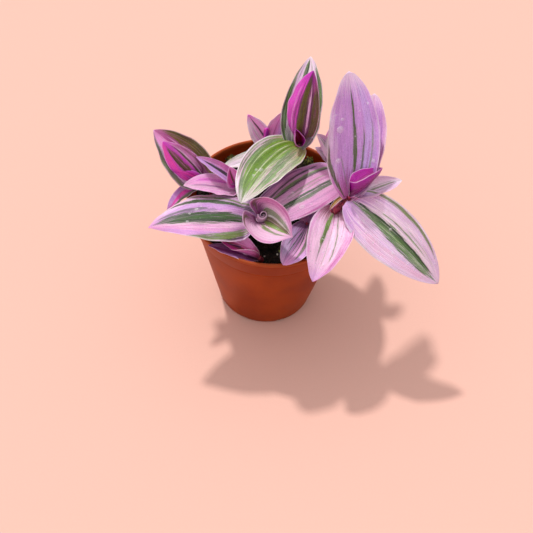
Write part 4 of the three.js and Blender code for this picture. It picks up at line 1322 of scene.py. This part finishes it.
def scatter_lumps(name, material, count, least, most, rng):
    """Rough lumps lie on the soil, each turned and dented in its own way."""
    shape, faces = lump_shape()
    reach = inner_radius(SOIL_TOP) - SOIL_GAP - most
    parts = []
    for _ in range(count):
        r = reach * math.sqrt(rng.random())
        angle = rng.random() * TURN
        size = least * (most / least) ** (rng.random() ** LUMP_SMALLNESS)
        x, y = r * math.cos(angle), r * math.sin(angle)
        turn = np.array(Euler(rng.random(3) * 6.28).to_matrix())
        dents = 1 + LUMP_DENT * (rng.random(len(shape)) - 0.5) * 2
        lump = (shape * dents[:, None] * size * rng.uniform(*LUMP_STRETCH, 3)) @ turn.T * (1, 1, LUMP_SQUASH)
        z = crumbly_height(x, y) + size * LUMP_SQUASH * (1 - 2 * LUMP_SINK)
        parts.append((lump + (x, y, z), faces))
    make_piece(name, joined(parts), [material], "soil", smooth_faces=False)


def moss_blade(foot, angle, share, rng):
    """A short three-sided blade that swells in its middle and leans outward."""
    lean = [math.cos(angle) * share + rng.normal() * MOSS_STRAY,
            math.sin(angle) * share + rng.normal() * MOSS_STRAY, 1.0]
    lean = unit(np.array(lean))
    side = unit(np.cross(lean, [math.cos(angle + 1), math.sin(angle + 1), 0.2]))
    back = np.cross(side, lean)
    tall, wide = rng.uniform(*MOSS_TALL), rng.uniform(*MOSS_WIDE)
    middle = foot + lean * tall * 0.55
    points = [foot + side * wide, foot - side * wide * 0.5 + back * wide * 0.8,
              foot - side * wide * 0.5 - back * wide * 0.8, middle + side * wide * 1.1,
              middle - side * wide * 0.6 + back * wide * 0.8, middle - side * wide * 0.6 - back * wide * 0.8,
              foot + lean * tall + back * rng.normal() * 0.3]
    return points, grid_faces(2, 3, closed=True) + [(3, 4, 6), (4, 5, 6), (5, 3, 6), (2, 1, 0)]


def make_moss(rng):
    """Cushions of moss on the soil: each a low dome, and short pointed blades that lean out of it."""
    parts = []
    rings = 5
    for x, y, radius, height, blades in MOSS_TUFTS:
        ground = np.array([x, y, float(soil_height(x, y)) - MOSS_SINK])

        def spot(i, a):
            share = 1 - i / rings
            r = radius * share * (1 + MOSS_LOBES * math.sin(3 * a + x))
            rise = height * math.sqrt(1 - share ** 2) + rng.uniform(-MOSS_BUMPS, MOSS_BUMPS)
            return ground + (r * math.cos(a), r * math.sin(a), rise)
        parts.append(dome(rings, 18, spot, ground + (0, 0, height)))
        for _ in range(blades):
            a, share = rng.random() * TURN, math.sqrt(rng.random())
            r = radius * share * 0.95
            foot = ground + (r * math.cos(a), r * math.sin(a), height * math.sqrt(1 - share ** 2 * 0.9) - 0.4)
            parts.append(moss_blade(foot, a, share, rng))
    make_piece("moss", joined(parts), [moss_material()], "soil")


# Water.

def make_droplets(name, leaf, placed, strewn, material, rng):
    """Drops of water on a leaf's upper face, sunk a little into it: some placed, others strewn."""
    drops = list(placed)
    for _ in range(strewn):
        drops.append((rng.uniform(*STREWN_ACROSS), rng.uniform(*STREWN_ALONG),
                      STREWN_LEAST * STREWN_SPREAD ** (rng.random() ** 2)))
    parts = []
    rings = 4
    for u, v, radius in drops:
        spots, normals = leaf_surface(leaf, np.array([u, u + 0.01]), np.array([v, v + 0.01]))
        normal = unit(normals[0, 0])
        side = spots[0, 1] - spots[0, 0]
        side = unit(side - normal * np.dot(side, normal))
        other = np.cross(normal, side)
        base = spots[0, 0] + normal * (BLADE / 2 - DROP_SINK)
        rise = normal * (DROP_SINK + radius * DROP_HEIGHT)
        stretch, phase = rng.uniform(*DROP_STRETCH), rng.random() * 6.28

        def spot(i, a):
            angle = i / rings * math.pi / 2
            r = radius * math.cos(angle) * (1 + DROP_WOBBLE * math.sin(2 * a + phase))
            return (base + side * r * math.cos(a) * stretch + other * r * math.sin(a) / stretch
                    + rise * math.sin(angle))
        parts.append(dome(rings, 14, spot, base + rise))
    make_piece(name, joined(parts), [material], None)


# Everything is made here.

stem_look = stem_material()
sheath_look = sheath_material()
water = water_painted_reflection_material()
for node, (radius, stem, rows) in SHOOTS.items():
    leaves = [leaf_from_row(node, stem, index, row) for index, row in enumerate(rows)]
    shoot = {"radius": radius, "stem": stem, "leaves": leaves}
    make_stem(node.replace("shoot", "stem"), node, shoot, stem_look)
    make_sheaths(node.replace("shoot", "sheaths"), node, shoot, sheath_look,
                 np.random.default_rng(SHEATH_SEED))
    if node in ROLLS:
        make_roll(node.replace("shoot", "roll"), node, *ROLLS[node])
    for index, leaf in enumerate(leaves):
        make_leaf(f"{node.replace('shoot', 'leaf')}_{index + 1}", node, leaf)
        if (node, index) in DROPLETS:
            make_droplets(f"{node.replace('shoot', 'droplets')}_{index + 1}", leaf, *DROPLETS[(node, index)],
                          water, np.random.default_rng(DROPLET_SEED + index + len(node)))

make_pot()
soil_look = soil_material()
make_soil(soil_look)
scatter_lumps("soil_lumps", soil_look, *SOIL_LUMPS, np.random.default_rng(LUMP_SEED))
scatter_lumps("perlite", perlite_material(), *PERLITE_BITS, np.random.default_rng(PERLITE_SEED))
make_moss(np.random.default_rng(MOSS_SEED))

# The floor, the light and the camera.

corners = [(x * FLOOR_REACH, y * FLOOR_REACH, 0) for x, y in ((-1, -1), (1, -1), (1, 1), (-1, 1))]
floor = new_object("floor", corners, [(0, 1, 2, 3)])
floor.data.materials.append(floor_material())

sun = bpy.data.lights.new("key", "SUN")
sun.energy = SUN_ENERGY
sun.angle = SUN_SIZE
sun.color = SUN_COLOUR
key = bpy.data.objects.new("key", sun)
key.rotation_mode = "QUATERNION"
key.rotation_quaternion = LIGHT_PATH.to_track_quat("-Z", "Y")
bpy.context.scene.collection.objects.link(key)

world = bpy.data.worlds.new("studio")
world.use_nodes = True
sky = Graph(world.node_tree)
toward = sky.node("VectorMath", {0: sky.node("TexCoord").outputs["Generated"], 1: SOFT_SIDE},
                  operation="DOT_PRODUCT").outputs["Value"]
background = world.node_tree.nodes["Background"].inputs
background["Color"].default_value = SOFT_COLOUR
sky.put(background["Strength"], sky.node("MapRange", {
    "Value": toward, "From Min": -1.0, "From Max": 1.0, "To Min": SOFT_LOW, "To Max": SOFT_HIGH}).outputs[0])
bpy.context.scene.world = world

ahead = Vector((0, math.cos(PITCH), -math.sin(PITCH)))
level_up = Vector((0, math.sin(PITCH), math.cos(PITCH)))
level_right = Vector((1, 0, 0))
right = math.cos(ROLL) * level_right + math.sin(ROLL) * level_up
up = -math.sin(ROLL) * level_right + math.cos(ROLL) * level_up
camera = bpy.data.objects.new("camera", bpy.data.cameras.new("camera"))
camera.data.sensor_width = SENSOR
camera.data.lens = FOCAL_PIXELS / FRAME_PIXELS * SENSOR
camera.matrix_world = Matrix.Translation(EYE) @ Matrix((right, up, -ahead)).transposed().to_4x4()
bpy.context.scene.collection.objects.link(camera)
bpy.context.scene.camera = camera
bpy.context.scene.view_settings.view_transform = "Standard"
